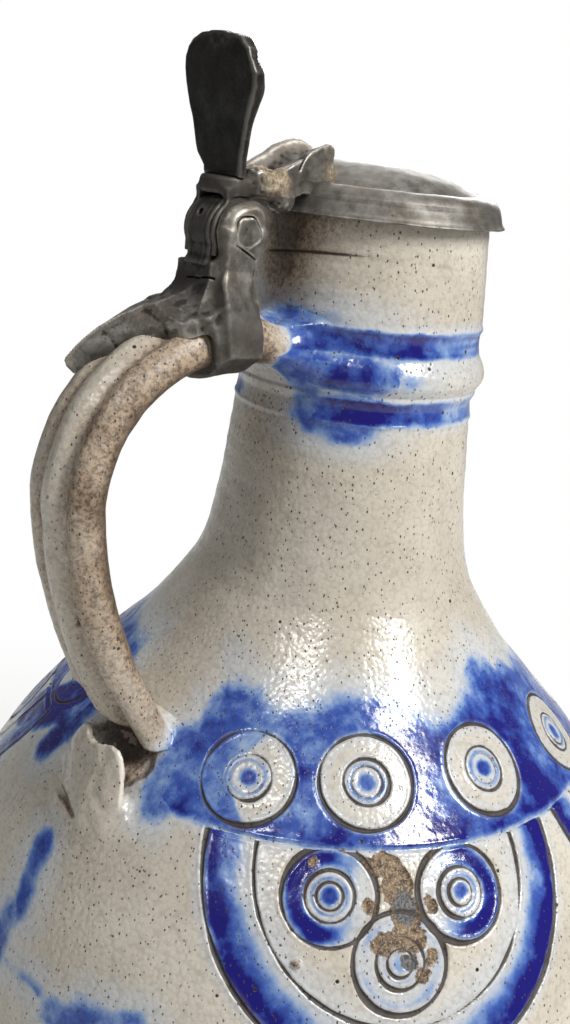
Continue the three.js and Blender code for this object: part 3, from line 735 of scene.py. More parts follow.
STRAP, STRAP_RUN = handle_path()
BAND_END = float(STRAP_RUN[np.argmin(np.abs(STRAP - (52.3, 301.0)).sum(1))])
FOOT_BREAK = float(STRAP_RUN[np.argmin(np.abs(STRAP[:, 1] - 206.5) + FAR * (STRAP[:, 0] < 60))]) - 1.6


def strap_frame(reach, height):
    """Where points of the handle's plane lie: distance along the strap, and out from its middle line."""
    nearest = np.full(reach.shape, FAR)
    along = np.zeros(reach.shape)
    outward = np.zeros(reach.shape)
    slope = np.gradient(STRAP, axis=0)
    slope /= np.linalg.norm(slope, axis=1, keepdims=True)
    for place in range(len(STRAP)):
        a, b = reach - STRAP[place, 0], height - STRAP[place, 1]
        gap = a * a + b * b
        closer = gap < nearest
        nearest = np.where(closer, gap, nearest)
        t = a * slope[place, 0] + b * slope[place, 1]
        along = np.where(closer, STRAP_RUN[place] + t, along)
        outward = np.where(closer, a * -slope[place, 1] + b * slope[place, 0], outward)
    return along, outward


def wall_distance(x, y, z):
    """How far points lie outside the body's wall, measured square to its slope."""
    around = np.hypot(x, y)
    slope = np.gradient(wall_line[:, 1], wall_line[:, 0])
    lean = np.interp(z, wall_line[::-1, 0], slope[::-1])
    return (around - radius_at(z)) / np.sqrt(1 + np.clip(lean, -3, 3) ** 2)


def valley_share(along, length):
    """Where the deeper flute runs across the strap: it swings to the near side at the foot."""
    return 0.44 - 0.1 * step(along, length * 0.45, length * 0.8) + 0.24 * step(length - along, 62, 26)


def strap_distance(x, y, z):
    """The strap: a flattened section with two soft flutes down its back, spreading at both ends."""
    along, across, outward = strap_grid(x, y, z)
    root = step(along, BAND_END + 26, BAND_END - 6)
    length = STRAP_RUN[-1]
    foot = step(along, length - 44, length - 8)
    inner = step(along, BAND_END - 3, BAND_END - 14)
    half = 12.3 * (1 + 0.02 * root + 0.26 * foot) + 0.3 * rough(x, y, z, 17, 40)
    back = 6.5 + 2.0 * root - 2.6 * inner - 0.3 * foot
    front = 5.6 - 0.6 * foot
    share = across / half
    low_part = step(along, length * 0.45, length * 0.8)
    valley = valley_share(along, length)
    flute = (1.5 - 0.9 * low_part) * bump(share, -0.36, 0.14) + (1.7 + 1.5 * low_part) * bump(share, valley, 0.16)
    ridge = 0.5 * bump(share, 0.04, 0.16) + 0.35 * bump(share, valley + 0.32, 0.16)
    thick = np.where(outward > 0, back + (ridge - flute) * step(along, 4, 26), front)
    thick -= 0.5 * bump(share, 0, 0.4) * (outward < 0)
    thick = thick + 0.45 * rough(x, y, z, 10, 42) + 0.2 * rough(x, y, z, 3.2, 44)
    value = (np.abs(share) ** 2.7 + np.abs(outward / thick) ** (2.2 + 0.8 * foot)) ** (1 / 2.35) - 1
    return value * 6.2


def strap_across(along, y):
    """How far points lie to the near side of the strap's middle, which bows a little."""
    return 3.5 * np.sin(math.pi * np.clip(along / STRAP_RUN[-1], 0, 1)) - y


def strap_grid(x, y, z):
    """Where grid points lie along, across and out from the strap."""
    along, outward = strap_frame(-x[:, 0, :], z[:, 0, :])
    along = along[:, None, :]
    return along, strap_across(along, y), outward[:, None, :]


SCROLL_EDGE = [(-18.0, -112), (-16.4, -107), (-13, -101), (-9.6, -95.2), (-6.8, -91.2), (-4.2, -88.5), (-2.8, -88.1),
               (-1.6, -89.2), (-0.4, -90.6), (1.4, -91.4), (3.4, -90.8), (6.0, -90.2), (8.4, -89.7), (10.4, -90.4),
               (11.8, -92.2), (13.0, -95.4), (13.7, -99.5), (14.4, -103.4), (16.6, -106.4), (19.0, -109.6),
               (21.0, -113)]

SCROLL_MIDDLE = 2.5


def scroll_top(across):
    return np.interp(across, *np.array(SCROLL_EDGE).T)


def scroll_sheet(across, level):
    """How far from the jug's axis the middle of the stump's wall stands."""
    return 86.2 - 0.2 * (level + 110) - (across - SCROLL_MIDDLE) ** 2 / 50


CREASE = [(-83.0, 15.2, 182.9, 0.7), (-84.2, 13.3, 181.7, 1.2), (-86.8, 6.0, 182.2, 0.9), (-87.9, 1.4, 182.0, 0.5),
          (-89.0, -3.2, 180.3, 0.0)]


def stump_crease(x, y, z):
    """Distance from the crease along the stump's base, which thins out towards the near side."""
    gap = np.full(np.broadcast(x, y, z).shape, 9.0)
    for first, last in zip(CREASE, CREASE[1:]):
        a, b = np.array(first), np.array(last)
        way = (b - a)[:3]
        share = np.clip(((x - a[0]) * way[0] + (y - a[1]) * way[1] + (z - a[2]) * way[2]) / (way @ way), 0, 1)
        away = np.sqrt(sum((v - a[i] - share * way[i]) ** 2 for i, v in enumerate((x, y, z))))
        gap = lowest(gap, away - a[3] - share * (b[3] - a[3]))
    return gap


def scroll_distance(x, y, z):
    """The wall that is left of the curled end, standing on the shoulder and broken along its top."""
    across, level = -y, z - RING
    top = scroll_top(across) + 0.7 * rough(x, y, z * 0, 2.4, 51)
    dent = 1.3 * np.exp(-((across + 10) ** 2 + (level + 106) ** 2) / 14)
    sheet = scroll_sheet(across, level) + 0.8 * rough(x, y, z, 7, 53) - dent
    thick = 0.75 + np.clip(0.09 * (top - level), 0, 1.4) + 0.2 * rough(x, y, z, 4, 55)
    slab = np.abs(-x - sheet) - thick
    value = carve(slab, -(level - top) * 0.8, 0.5)
    value = highest(value, -118 - level)
    roll = np.hypot(-x - 85.6 + (across - SCROLL_MIDDLE) ** 2 / 52, (level + 112.5) * 0.8) - 3.2
    roll = highest(roll, np.abs(across - SCROLL_MIDDLE) - 17)
    return blend(value, roll, 2.2)


def wall_marks(points, share):
    """The wall's own marks under points near it, taken up by a share."""
    x, y, z = points.T
    degrees = np.degrees(np.arctan2(-y, -x)) % 360
    _, marks = wall_surface(degrees, down_at(z))
    start = {**PLAIN, "strength": 0.4}
    return {key: start[key] * (1 - share) + value * share for key, value in marks.items()}


def handle_marks(points):
    """Brown salt stains, painted shade on the strap's inner face, thin blue and bare breaks on the handle."""
    x, y, z = points.T
    along, outward = strap_frame(-x, z)
    length = STRAP_RUN[-1]
    half = 12.4
    share = strap_across(along, y) / half
    middle = bump(along, length * 0.45, length * 0.3)
    low_part = step(along, length * 0.45, length * 0.8)
    valley = valley_share(along, length)
    stain_and_shade = 0.5 * step(share, valley - 0.04, valley + 0.16) * middle + 0.5
    stain_and_shade += 0.3 * (bump(share, valley, 0.1) + bump(share, -0.36, 0.1)) * (outward > 2)
    stain_and_shade -= 0.3 * bump(share, 0.04, 0.2) * (outward > 3) * (1 - low_part)
    # The first term is painted shade on the strap's inner face, towards the jug, away from the foot.
    stain_and_shade = stain_and_shade + 0.6 * step(outward, 2, -4) * step(length - along, 8, 50) + 0.3 * step(-x, 40, 47) * (-x < 54)
    stain_and_shade = stain_and_shade * (0.92 + 0.25 * rough(x, y, z, 9, 60))
    torn = FOOT_BREAK - 0.69 * y - 0.25 * (outward - 6)
    stain_and_shade += 1.6 * step(along - torn, -0.4, 0.8) * (outward > -6)
    chips = np.full(len(points), -3.0)
    for place, low, reach in ((0.36, -52, 1.3), (0.34, -57, 1.6), (-0.1, -43, 0.9)):
        spot = np.hypot((share - place) * half, (z - RING - low) * 0.6)
        chips = highest(chips, reach - spot + 0.9 * rough(x, y, z, 2.0, 62) - 0.8)
    near = step(wall_distance(x, y, z) - 4.0 * step(z, 275, 285), 6.5, 0.3) * step(np.abs(y), 40, 30)
    marks = wall_marks(points, near)
    marks["stain_and_shade"] += np.clip(stain_and_shade, 0, 1.2) * (1 - near)
    marks["chip"] = highest(marks["chip"], chips)
    bare = np.where(outward > 3, 5.5 - outward + 16 * step(x, -45, -39) * step(z, 275, 285), FAR)
    marks["cobalt"] = lowest(marks["cobalt"], bare)
    return marks


def scroll_marks(points):
    x, y, z = points.T
    across, level = -y, z - RING
    behind = step(-x - scroll_sheet(across, level), 0.6, -1.6) * step(level, -112, -106)
    rim = step(np.abs(level - scroll_top(across)), 2.2, 0.6) * (1 - 0.6 * behind)
    out = wall_distance(x, y, z)
    marks = wall_marks(points, step(out, 3.5, 0.3))
    split = stump_crease(x, y, z)
    # The crease at the stump's base is darkened as painted shade, and the broken rim is lightened below nought as a
    # painted highlight. The pocket behind the wall is stained brown.
    stain_and_shade = 0.2 + 1.0 * behind * (1 - rim) + 1.2 * step(split, 1.6, 0.1) - (0.3 + 0.6 * step(across, 8, 12)) * rim
    marks["stain_and_shade"] += stain_and_shade * (1 - step(out, 2.5, 0.3))
    return marks


def make_handle(glaze):
    """The strap grown onto the neck and the shoulder, and the stump of its curl."""
    size = 0.55 if FINE else 1.0

    def strap(x, y, z):
        under = wall_distance(x, y, z) + 0.45
        along, across, outward = strap_grid(x, y, z)
        foot = step(along, STRAP_RUN[-1] * 0.6, STRAP_RUN[-1] * 0.8)
        loose = foot * step(outward + 0.35 * across, -3.0, 3.0)
        solid = strap_distance(x, y, z)
        root = step(-x, 52, 44) * step(z, 289, 296)
        body = blend(solid, under, (4.0 + 2.5 * foot + 4.5 * root) * (1 - loose) + 0.9 * loose)
        torn = FOOT_BREAK + 0.69 * highest(-y, -9) + 0.5 * rough(x, y, z, 5, 47) - 0.25 * (outward - 6)
        gone = highest(torn - along, -3.4 - outward, -y - 15.5 + 0.15 * (z - 190))
        body = carve(body, gone, 0.5)
        return evened(body, size)

    def stump(x, y, z):
        under = wall_distance(x, y, z) + 0.45
        body = blend(scroll_distance(x, y, z), under, 3.2)
        return evened(carve(body, stump_crease(x, y, z), 0.5), size * 0.8)

    strap_piece = cast("strap_handle", (-99, -27, 186), (-24, 27, 318), size, strap, glaze,
                       "jug", handle_marks, shown=clear_of_wall)
    stump_piece = cast("curl_stump", (-97, -24, 166), (-64, 17, 206), size * 0.8, stump, glaze,
                       "jug", scroll_marks, shown=clear_of_wall)
    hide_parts("handle")
    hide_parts("handle_scroll")


def clear_of_wall(points):
    """True where points aren't buried under the body's glaze."""
    return wall_distance(*points.T) > -0.42


# Cast pewter: the mount on the handle, the hinge, the lid's arm, the thumbpiece and the lid.

BAND = (float(np.interp(50.0, STRAP[:120, 0], STRAP_RUN[:120])), 12.6)
TONGUE = 23.8
NEAR_EDGE = [(0, 12.6), (0.08, 12.4), (0.16, 12.2), (0.22, 10.6), (0.27, 9.6), (0.33, 5.9), (0.48, 1.0),
             (0.65, -3.4), (0.85, -6.2), (0.95, -7.6), (1.0, -8.6), (1.1, -10.4)]
FAR_EDGE = [(0, -12.6), (0.3, -12.3), (0.5, -12.0), (0.65, -11.8), (0.85, -12.0), (1.0, -11.8), (1.1, -11.2)]


def between(value, low, high):
    """Distance from a slab, negative inside it."""
    return highest(low - value, value - high)


def from_pin(x, z):
    """How far points lie from the hinge's axis."""
    return np.hypot(x - PIN_X, z - PIN_Z)


def egg(x, y, z, middle, reach):
    """How far points lie outside an egg with these half sizes, as a share of them."""
    return np.sqrt(sum(((v - m) / r) ** 2 for v, m, r in zip((x, y, z), middle, reach))) - 1


def knuckle(x, y, z, radius, near, far, bottom, soft, width):
    """A hinge knuckle round the pin, with straight legs down to its bottom."""
    disc = from_pin(x, z) - radius
    legs = highest(np.abs(x - PIN_X) - width, z - PIN_Z, bottom - z)
    return cross(lowest(disc, legs), between(y, near, far), soft)


def band_and_tongue(x, y, z):
    """The band round the handle's root and the leaf drawn out along its back."""
    along, across, outward = strap_grid(x, y, z)
    back = 6.6 + 2.0 * step(along, BAND_END + 26, BAND_END - 6)
    wave = 0.5 * rough(x, y, z, 6, 70)
    half = 15.3 + 0.25 * wave
    high = np.where(outward > 0, back + 2.5, 8.2)
    square = np.where(outward > 0, 2.7, 2.3)
    ring = (np.abs(across / half) ** square + (np.abs(outward) / high) ** square) ** (1 / square) - 1
    start, long = BAND
    end = start + long + 0.5 * np.sin(across * 0.5) - 0.6 * step(across, 6, 14)
    band = cross(ring * 8.5, between(along, start + wave * 0.5, end), 0.9)
    share = (along - (start + long - 2)) / TONGUE
    near = np.interp(share, *np.array(NEAR_EDGE).T) + 0.5 * np.sin(share * 33) * step(share, 0.5, 0.1)
    far = np.interp(share, *np.array(FAR_EDGE).T)
    over = np.clip((across - far) / (near - far + 1e-3), 0, 1)
    crest = lowest(over / 0.6, (1 - over) / 0.4)
    thick = (1.6 + 3.4 * crest + 0.8 * highest(crest, 0) ** 6) * (1 - 0.42 * share**2) + 0.2 * wave
    thick += 0.9 * bump(share, 0.06, 0.14) * rough(x, y, z, 4, 72)
    top = outward - back - thick
    scallop = 0.35 * rough(x, y, z, 3.0, 73) * step(share, 1.0, 0.7)
    side = highest(across - near, far - across, TONGUE * between(share, -0.2, 1.01))
    leaf = cross(side + scallop, top, 1.2)
    leaf = highest(leaf, back - 2.5 - outward)
    return blend(band, leaf, 1.6)


def mount_distance(x, y, z):
    """Band, tongue, stand, middle knuckle and the near cheek with the plug's seat."""
    body = band_and_tongue(x, y, z)
    low = 321.0 - z
    flare = 2.6 * step(low, 2, 12) ** 1.4
    lump = 0.35 * rough(x, y, z, 4.5, 74)
    stand = highest(np.abs(x - PIN_X + 0.3 * flare) - 6.9 - flare, np.abs(y - 1.0) - 6.1 - 0.5 * flare)
    stand = cross(stand + lump, between(z, 303, 320.2), 0.9)
    body = blend(body, stand, 2.8)
    drop = highest(319 - z, 0)
    strip_out = -9.1 - 0.3 * drop + 0.15 * bump(z, 315.4, 1.0)
    strip = np.abs(x - PIN_X - 0.4 + 2.4 * step(z, 325, 314)) - 4.1 - 1.6 * step(z, 317, 325) - 0.5 * bump(z, 317, 2.2)
    strip = highest(strip + 0.5 * lump, between(z, 300, PIN_Z))
    strip = cross(strip, highest(strip_out - y, y + 5.7 + 0.3 * drop), 1.1)
    turn = np.arctan2(z - PIN_Z, x - PIN_X)
    corner = np.hypot(x - PIN_X - 0.4, z - PIN_Z - 0.2) - 0.75 * bump(turn, 0.95, 0.35) + 0.35 * bump(turn, 1.8, 0.4)
    disc = highest(corner - 7.1 - lump * 0.5, between(y, -9.4, -5.7))
    bevel = (corner - 7.1 - (y + 9.4) + 1.7) * 0.72
    disc = cross(disc, bevel, 0.5)
    seat = plug_outline(x, z) - 0.25
    cheek = blend(carve(disc, highest(seat, y + 8.6), 0.4), strip, 2.2)
    body = blend(body, cheek, 4.0)
    for near, far in ((-5.7, -3.9), (4.95, 6.9)):
        leaf = highest(from_pin(x, z) - 8.1, between(y, near, far))
        body = carve(body, highest(leaf, 319.9 - z), 0.25)
    groove = 0.28 * bump(y, -2.2, 0.35) + 0.22 * bump(y, 3.2, 0.3) + 0.15 * bump(y, -0.6, 0.25)
    width = np.where(x < PIN_X, 6.6 + 0.9 * step(z, 321.6, 320), 7.4) - groove + lump
    middle = knuckle(x, y, z, 7.55 - groove + lump, -3.85, 4.85, 319.6, 0.7, width)
    top_lump = np.sqrt((x + 55.5) ** 2 + ((y + 1.2) / 1.6) ** 2 + (z - 334.2) ** 2) - 2.0
    top_lump = highest(top_lump, from_pin(x, z) - 7.75, -3.7 - y)
    body = blend(body, blend(middle, top_lump, 0.8), 0.6)
    hole = np.hypot(y - 1.2, z - PIN_Z - 3.6) - 0.75
    body = carve(body, highest(hole, x + 57.5), 0.3)
    crack = np.abs(z - 316.0 - 0.6 * rough(x, y, z, 3, 76) + 0.12 * y) - 0.16
    body = carve(body, highest(crack, y - 3.5, -(y + 6.5)), 0.25)
    sink = highest(np.abs(z - 323.4 + 0.5 * (x - PIN_X)) - 0.18, between(x, PIN_X - 3.6, PIN_X + 3.4))
    body = carve(body, highest(sink, y + 8.8), 0.25)
    tear = np.abs(y + 9.2 + 0.35 * (x + 50)) - 0.25
    body = carve(body, highest(tear, between(x, -53, -46), between(z, 306, 313)), 0.3)
    return body + 0.06 * rough(x, y, z, 1.7, 78)


def plug_outline(x, z):
    """The plug isn't quite round: it was hammered to five blunt corners."""
    turn = np.arctan2(z - PIN_Z, x - PIN_X)
    corners = 0.2 * np.cos(5 * turn + 0.8) + 0.2 * np.cos(3 * turn + 0.6) + 0.14 * np.cos(2 * turn)
    return from_pin(x, z) - 3.8 - corners


def leaves_distance(x, y, z):
    """The lid's two leaves beside the middle knuckle, and the collar above them."""
    level = np.clip((z - 338.3) / 2.6, -1.2, 1.2)
    swell = 0.9 * (1 - level**2)
    plan = ((np.abs(x + 54.0) / (3.9 + swell)) ** 2.6 + (np.abs(y) / (5.7 + swell)) ** 2.6) ** (1 / 2.6) - 1
    collar = cross(plan * 4.6, between(z, 336.15, 340.3), 0.6) + 0.2 * rough(x, y, z, 4, 79)
    bridge = highest(between(x, -57.4, -50.5), between(z, 333, 337.2))
    body = FAR
    for radius, low, high, width in ((7.35, -5.4, -4.15, 6.5), (6.9, 5.2, 6.5, 6.2)):
        leaf = knuckle(x, y, z, radius, low, high, 322, 0.4, width)
        leaf = blend(leaf, cross(bridge, between(y, low, high), 0.4), 1.2)
        body = lowest(body, blend(leaf, collar, 1.6))
    return body + 0.08 * rough(x, y, z, 2.2, 80)


ARM = [(-50.2, 335.9, 341.2, 6.2), (-46.0, 335.8, 342.2, 6.9), (-42, 336.2, 343.6, 7.3), (-38, 337.4, 345.6, 7.4),
       (-34, 339.8, 347.9, 7.2), (-30.5, 341.2, 349.6, 6.9), (-27.5, 341.8, 350.5, 6.4), (-25, 342.0, 350.4, 5.6),
       (-22.8, 342.4, 349.2, 4.2)]


def arm_distance(x, y, z):
    """The trough-shaped arm from the hinge up on to the lid, where it is soldered down."""
    run, *sizes = zip(*ARM)
    bottom, top, half = [np.interp(x, run, size) for size in sizes]
    side = np.abs(y) / half
    droop = np.where(y < 0, 0.9, 0.0) * step(x, -44, -36)
    rim = top - droop + 0.3 * rough(x, y * 0, z * 0, 3.2, 82) - 1.6 * bump(x, -45.5, 2.4) * (y < 0)
    hull = bottom + highest(rim - bottom - 3.0, 0.6) * 0.55 * side**3.0 * step(x, -30, -37)
    floor = bottom + 2.7 + 1.8 * step(x, -40, -28)
    trough = floor + (rim - floor + 0.3) * np.clip(side / 0.86, 0, 1.3) ** 2.6
    solid = highest(hull - z, z - rim, (side - 1) * half)
    solid = cross(solid, between(x, -50.6, -22.7), 1.2)
    body = carve(solid, trough - z, 0.8)
    body = blend(body, 3.4 * egg(x, y, z, (-28.5, -3.0, 341.6), (5.8, 3.4, 3.4)), 1.8)
    wall = highest(np.abs(y + 5.1 - 0.12 * (x + 30)) - 1.5, between(x, -43, -24.5), z - rim + 0.4)
    body = blend(body, highest(wall, np.where(x < -35.4, 337.2, 337.6) - z), 1.6)
    cut = np.abs(x + 37.0 - 0.45 * (z - 344) - 0.08 * (z - 344) ** 2) - 0.25
    body = carve(body, highest(cut, y + 4.6, 343.0 - z), 0.25)
    return body + 0.16 * rough(x, y, z, 2.6, 84)


def casting_distance(x, y, z):
    """The arm, its leaves and collar, with the crust at their joint, kept clear of the middle knuckle."""
    lime = egg(x, y, z, (-45.5, -2.2, 339.2), (6.6, 6.6, 4.0))
    lime = highest(lime * 3.6 + 0.8 * rough(x, y, z, 2.4, 86), 336.2 - z)
    lug = egg(x, y, z, (-40.4, -5.2, 336.0), (3.5, 3.2, 3.4))
    lime = blend(lime, lug * 3.3 + 0.5 * rough(x, y, z, 2.0, 87), 1.5)
    body = blend(blend(arm_distance(x, y, z), leaves_distance(x, y, z), 1.8), lime, 1.4)
    around = from_pin(x, z) - 8.05
    body = highest(body, -highest(around, between(y, -3.98, 5.0)))
    return highest(body, -highest(around, y + 5.55))


def casting_marks(points):
    """Pale lime scale along the arm's wings and at its root."""
    x, y, z = points.T
    lime = 0.5 - egg(x, y, z, (-44.5, -3, 340), (6.0, 7, 5.0))
    lime = np.clip(lime * 1.1, 0, 1) - 1.6 * step(x, -48, -51.5) - 0.45 * step(y, -2, 2) * step(x, -46, -42)
    wing = 0.45 * step(z, 345.5, 349.5) * step(x, -34, -26)
    seam = 0.9 * np.exp(-((x + 26) ** 2 + (y + 4) ** 2 + (z - 343.5) ** 2) / 22)
    return {"lime": np.clip(lime + wing + seam, -1, 1)}


BLADE = [(-6.5, 50.2), (-6.6, 52.1), (-8.7, 54.6), (-9.5, 57), (-10.3, 61.5), (-11.8, 66.5), (-12.9, 70.5),
         (-13.3, 73.6), (-12.9, 76.4), (-11.6, 78.6), (-9.6, 80.2), (-6.2, 81.5), (-0.6, 82.0), (4.5, 81.6),
         (7.6, 80.6), (9.9, 78.6), (11.1, 76.2), (11.9, 73.4), (11.8, 70.5), (10.7, 67), (9.2, 62.6), (8.0, 58.2),
         (7.2, 54.8), (6.9, 52.0), (6.7, 50.2)]


def outline_distance(a, b, corners):
    """Distance from a closed outline in a plane, negative inside it."""
    gap = np.full(np.shape(a), FAR)
    inside = np.zeros(np.shape(a), bool)
    for (ax, ay), (bx, by) in zip(corners, corners[1:] + corners[:1]):
        dx, dy = bx - ax, by - ay
        share = np.clip(((a - ax) * dx + (b - ay) * dy) / (dx * dx + dy * dy), 0, 1)
        gap = lowest(gap, np.hypot(a - ax - share * dx, b - ay - share * dy))
        crossing = ((ay > b) != (by > b)) & (a < dx * (b - ay) / (dy + 1e-12) + ax)
        inside ^= crossing
    return np.where(inside, -gap, gap)


def blade_distance(x, y, z):
    """The thumbpiece: smooth outside, ribbed like a shell towards the lid, with a scalloped rim."""
    s, level = -y, z - RING
    flat = outline_distance(s[0], level[0], BLADE)[None]
    height = np.clip((level - 50.3) / 31.7, 0, 1)
    upper = step(height, 0.3, 0.62)
    fan = np.arctan2(s + 0.4, highest(level - 47, 1))
    ribs = np.abs(np.cos(fan * 13.0))
    flat = flat - 0.55 * upper * (ribs - 0.5) * (s > -4)
    middle = -54.6 - 3.9 * height - 0.7 * (1 - (s / 12) ** 2) * upper
    outer = middle - 1.1 - x
    swell = 0.9 + 1.1 * upper * ribs * step(flat, -7.5, -1.5) + 0.7 * upper * bump(flat, -1.0, 1.6)
    inner = x - middle - swell - 0.55 * (1 - upper)
    body = cross(highest(outer, inner), flat, 0.75)
    body = highest(body, 340.05 - z)
    return highest(body + 0.09 * rough(x, y, z, 3, 88), z - 371.9)


def plug_distance(x, y, z):
    """The pin and its plugged end: a blunt disc, hammered flat."""
    face = -9.75 + 0.35 * rough(x, y * 0, z, 2.2, 91)
    disc = cross(plug_outline(x, z), between(y, face, -8.0), 0.5)
    pin = highest(from_pin(x, z) - 1.9, between(y, -8.3, 7.6))
    return blend(disc, pin, 0.2) + 0.05 * rough(x, y, z, 1.6, 92)


def mount_marks(points):
    """Darkening round the middle knuckle, in the stand, over the band and on the lower mount, as lime below nought."""
    x, y, z = points.T
    dark = step(z, 312, 321) * step(y, -5.6, -4.6) + 0.5 * step(z, 303, 314) * step(y, -8, -5)
    dark = dark + 0.5 * bump(z, 311, 6) * step(y, -6, -8) + 0.4 * step(x, -66, -60) * step(z, 309, 304)
    dark += 0.24 * step(z, 324, 316)
    return {"lime": -np.clip(dark, 0, 1)}


def old_pewter(name, tone=1.0, rub=1.0):
    """Dull cast pewter: dark in its hollows, rubbed bright on its edges, with scratches and scale."""
    f = Finish(name)
    edge, lime = f.mark("edge"), f.mark("lime")
    broad, cloudy, fine = f.noise(16, 4, 0.6), f.noise(4.2, 4, 0.6), f.noise(0.9, 3, 0.6)
    place = f.node("ShaderNodeMapping", {}, {"Vector": f.place, "Scale": (0.25, 1.3, 1.0),
                                             "Rotation": (0.5, 0.3, 0.9)}, "Vector")
    scratch = f.node("ShaderNodeTexNoise", {}, {"Vector": place, "Scale": 1700.0, "Detail": 2.0,
                                                "Roughness": 0.7, "Distortion": 0.2}, "Fac").between(0.6, 0.7)
    # A tone below one darkens every colour of the finish: the thumbpiece's copy at 0.4 is painted shade standing for
    # the dark room its face mirrors.
    dark, pale, brown = [paint(*(c * tone for c in tint)) for tint in ((74, 71, 66), (132, 129, 124), (96, 86, 74))]
    metal = f.mix(cloudy.between(0.22, 0.78), dark, pale)
    metal = f.mix(broad.between(0.4, 0.68) * 0.6, metal, brown)
    worn = (edge + (cloudy - 0.5) * 0.6 + (fine - 0.5) * 0.2).between(0.32, 0.85)
    hollow = (edge + (cloudy - 0.5) * 0.25).between(-0.12, -0.5)
    # Darker where lime is below nought, on the hinge mount and by the leaves.
    darkening = (lime + (cloudy - 0.5) * 0.3).between(-0.15, -0.8)
    pit = f.cells(1.7).between(0.16, 0.07) * f.lots(1.7).between(0.6, 0.8)
    metal = f.over(metal, (scratch * 0.25 * rub, (138, 134, 126)), (worn * 0.55 * rub, (172, 167, 158)),
                   (darkening * 0.7, (34, 28, 24)), (hollow * 0.9, (28, 23, 19)), (pit * 0.7, (36, 31, 26)))
    scale = (lime + (cloudy - 0.5) * 0.9 + (fine - 0.5) * 0.3).between(0.3, 0.75)
    crust = f.mix(fine.between(0.35, 0.65), paint(166, 150, 124), paint(104, 90, 71))
    shade = f.mix(scale * 0.85, metal, crust)
    metallic = (1 - scale * 0.95) * (1 - hollow * 0.6) * (1 - darkening * 0.3) * 0.82
    gloss = cloudy * 0.16 + broad * 0.1 + 0.4 - worn * 0.1 + hollow * 0.3 + scale * 0.4 + darkening * 0.12
    height = cloudy * 0.9 + fine * 0.22 - scratch * 0.12 - pit * 0.5 + scale * fine * 1.2
    return f.feed(base_color=shade, metallic=metallic, roughness=gloss, normal=f.relief(height, 0.12))


LID_LINE = [(0.02, 347.6), (5, 347.5), (10, 347.2), (15, 346.45), (19, 345.3), (22.5, 343.8), (25.2, 342.2),
            (26.9, 341.0), (27.5, 340.62), (28.0, 340.7), (28.5, 340.95), (29.1, 340.95), (30.2, 340.6),
            (31.6, 339.7), (32.7, 338.4), (33.3, 336.9), (33.7, 335.4), (34.05, 334.3), (34.6, 333.75),
            (34.9, 333.45), (34.8, 333.25), (34.2, 333.25), (33.4, 333.4), (32.9, 334.2), (32.7, 335.6),
            (32.4, 336.5), (31.0, 336.85), (26, 337.1), (18, 337.7), (9, 338.2), (0.02, 338.3)]


def turned_tree(line, rows):
    """Geometry nodes that turn a piece from its section and dent it a little."""
    tree = bpy.data.node_groups.new("turned_lid", "GeometryNodeTree")
    for name, kind in (("Columns", "Int"), ("Dent Depth", "Float"), ("Dent Size", "Float"), ("Seed", "Float"),
                       ("Finish", "Material")):
        tree.interface.new_socket(name, in_out="INPUT", socket_type="NodeSocket" + kind)
    tree.interface.new_socket("Geometry", in_out="OUTPUT", socket_type="NodeSocketGeometry")
    given = tree.nodes.new("NodeGroupInput").outputs

    def add(kind, settings, inputs):
        return new_node(tree, kind, settings, inputs).outputs[0]

    def sum_of(operation, *values):
        return add("ShaderNodeMath", {"operation": operation}, dict(enumerate(values)))

    def section(axis, share):
        low, high = line[:, axis].min(), line[:, axis].max()
        node = new_node(tree, "ShaderNodeFloatCurve", {}, {"Value": share})
        curve_line = node.mapping.curves[0]
        place = np.concatenate([[0], np.cumsum(np.linalg.norm(np.diff(line, axis=0), axis=1))])
        wanted = [(p / place[-1], (v - low) / (high - low)) for p, v in zip(place, line[:, axis])]
        while len(curve_line.points) < len(wanted):
            curve_line.points.new(0.5, 0.5)
        for point, at in zip(curve_line.points, wanted):
            point.location = at
            point.handle_type = "VECTOR"
        node.mapping.update()
        return sum_of("MULTIPLY_ADD", node.outputs[0], (high - low) * 0.001, low * 0.001)

    grid = add("GeometryNodeMeshGrid", {}, {"Size X": 1.0, "Size Y": 1.0, "Vertices X": rows,
                                            "Vertices Y": given["Columns"]})
    place = new_node(tree, "ShaderNodeSeparateXYZ", {}, {0: add("GeometryNodeInputPosition", {}, {})}).outputs
    down = sum_of("ADD", place[0], 0.5)
    turn = sum_of("MULTIPLY", place[1], -2 * math.pi)
    radius, height = section(0, down), section(1, down)
    flat = add("ShaderNodeCombineXYZ", {}, {0: sum_of("MULTIPLY", radius, sum_of("COSINE", turn)),
                                            1: sum_of("MULTIPLY", radius, sum_of("SINE", turn)), 2: height})
    dents = add("ShaderNodeTexNoise", {"noise_dimensions": "4D"}, {
        "Vector": flat, "W": given["Seed"], "Detail": 2.0, "Scale": sum_of("DIVIDE", 1.0, given["Dent Size"])})
    lift = sum_of("MULTIPLY", sum_of("SUBTRACT", dents, 0.62), given["Dent Depth"])
    pushed = add("ShaderNodeVectorMath", {"operation": "ADD"}, {
        0: flat, 1: add("ShaderNodeCombineXYZ", {}, {2: lift})})
    bent = add("GeometryNodeSetPosition", {}, {"Geometry": grid, "Position": pushed})
    closed = add("GeometryNodeMergeByDistance", {}, {"Geometry": bent, "Distance": 0.00003})
    smooth = add("GeometryNodeSetShadeSmooth", {}, {"Geometry": closed, "Shade Smooth": True})
    real = add("GeometryNodeRealizeInstances", {}, {"Geometry": smooth})
    painted = add("GeometryNodeSetMaterial", {}, {"Geometry": real, "Material": given["Finish"]})
    new_node(tree, "NodeGroupOutput", {}, {"Geometry": painted})
    return tree


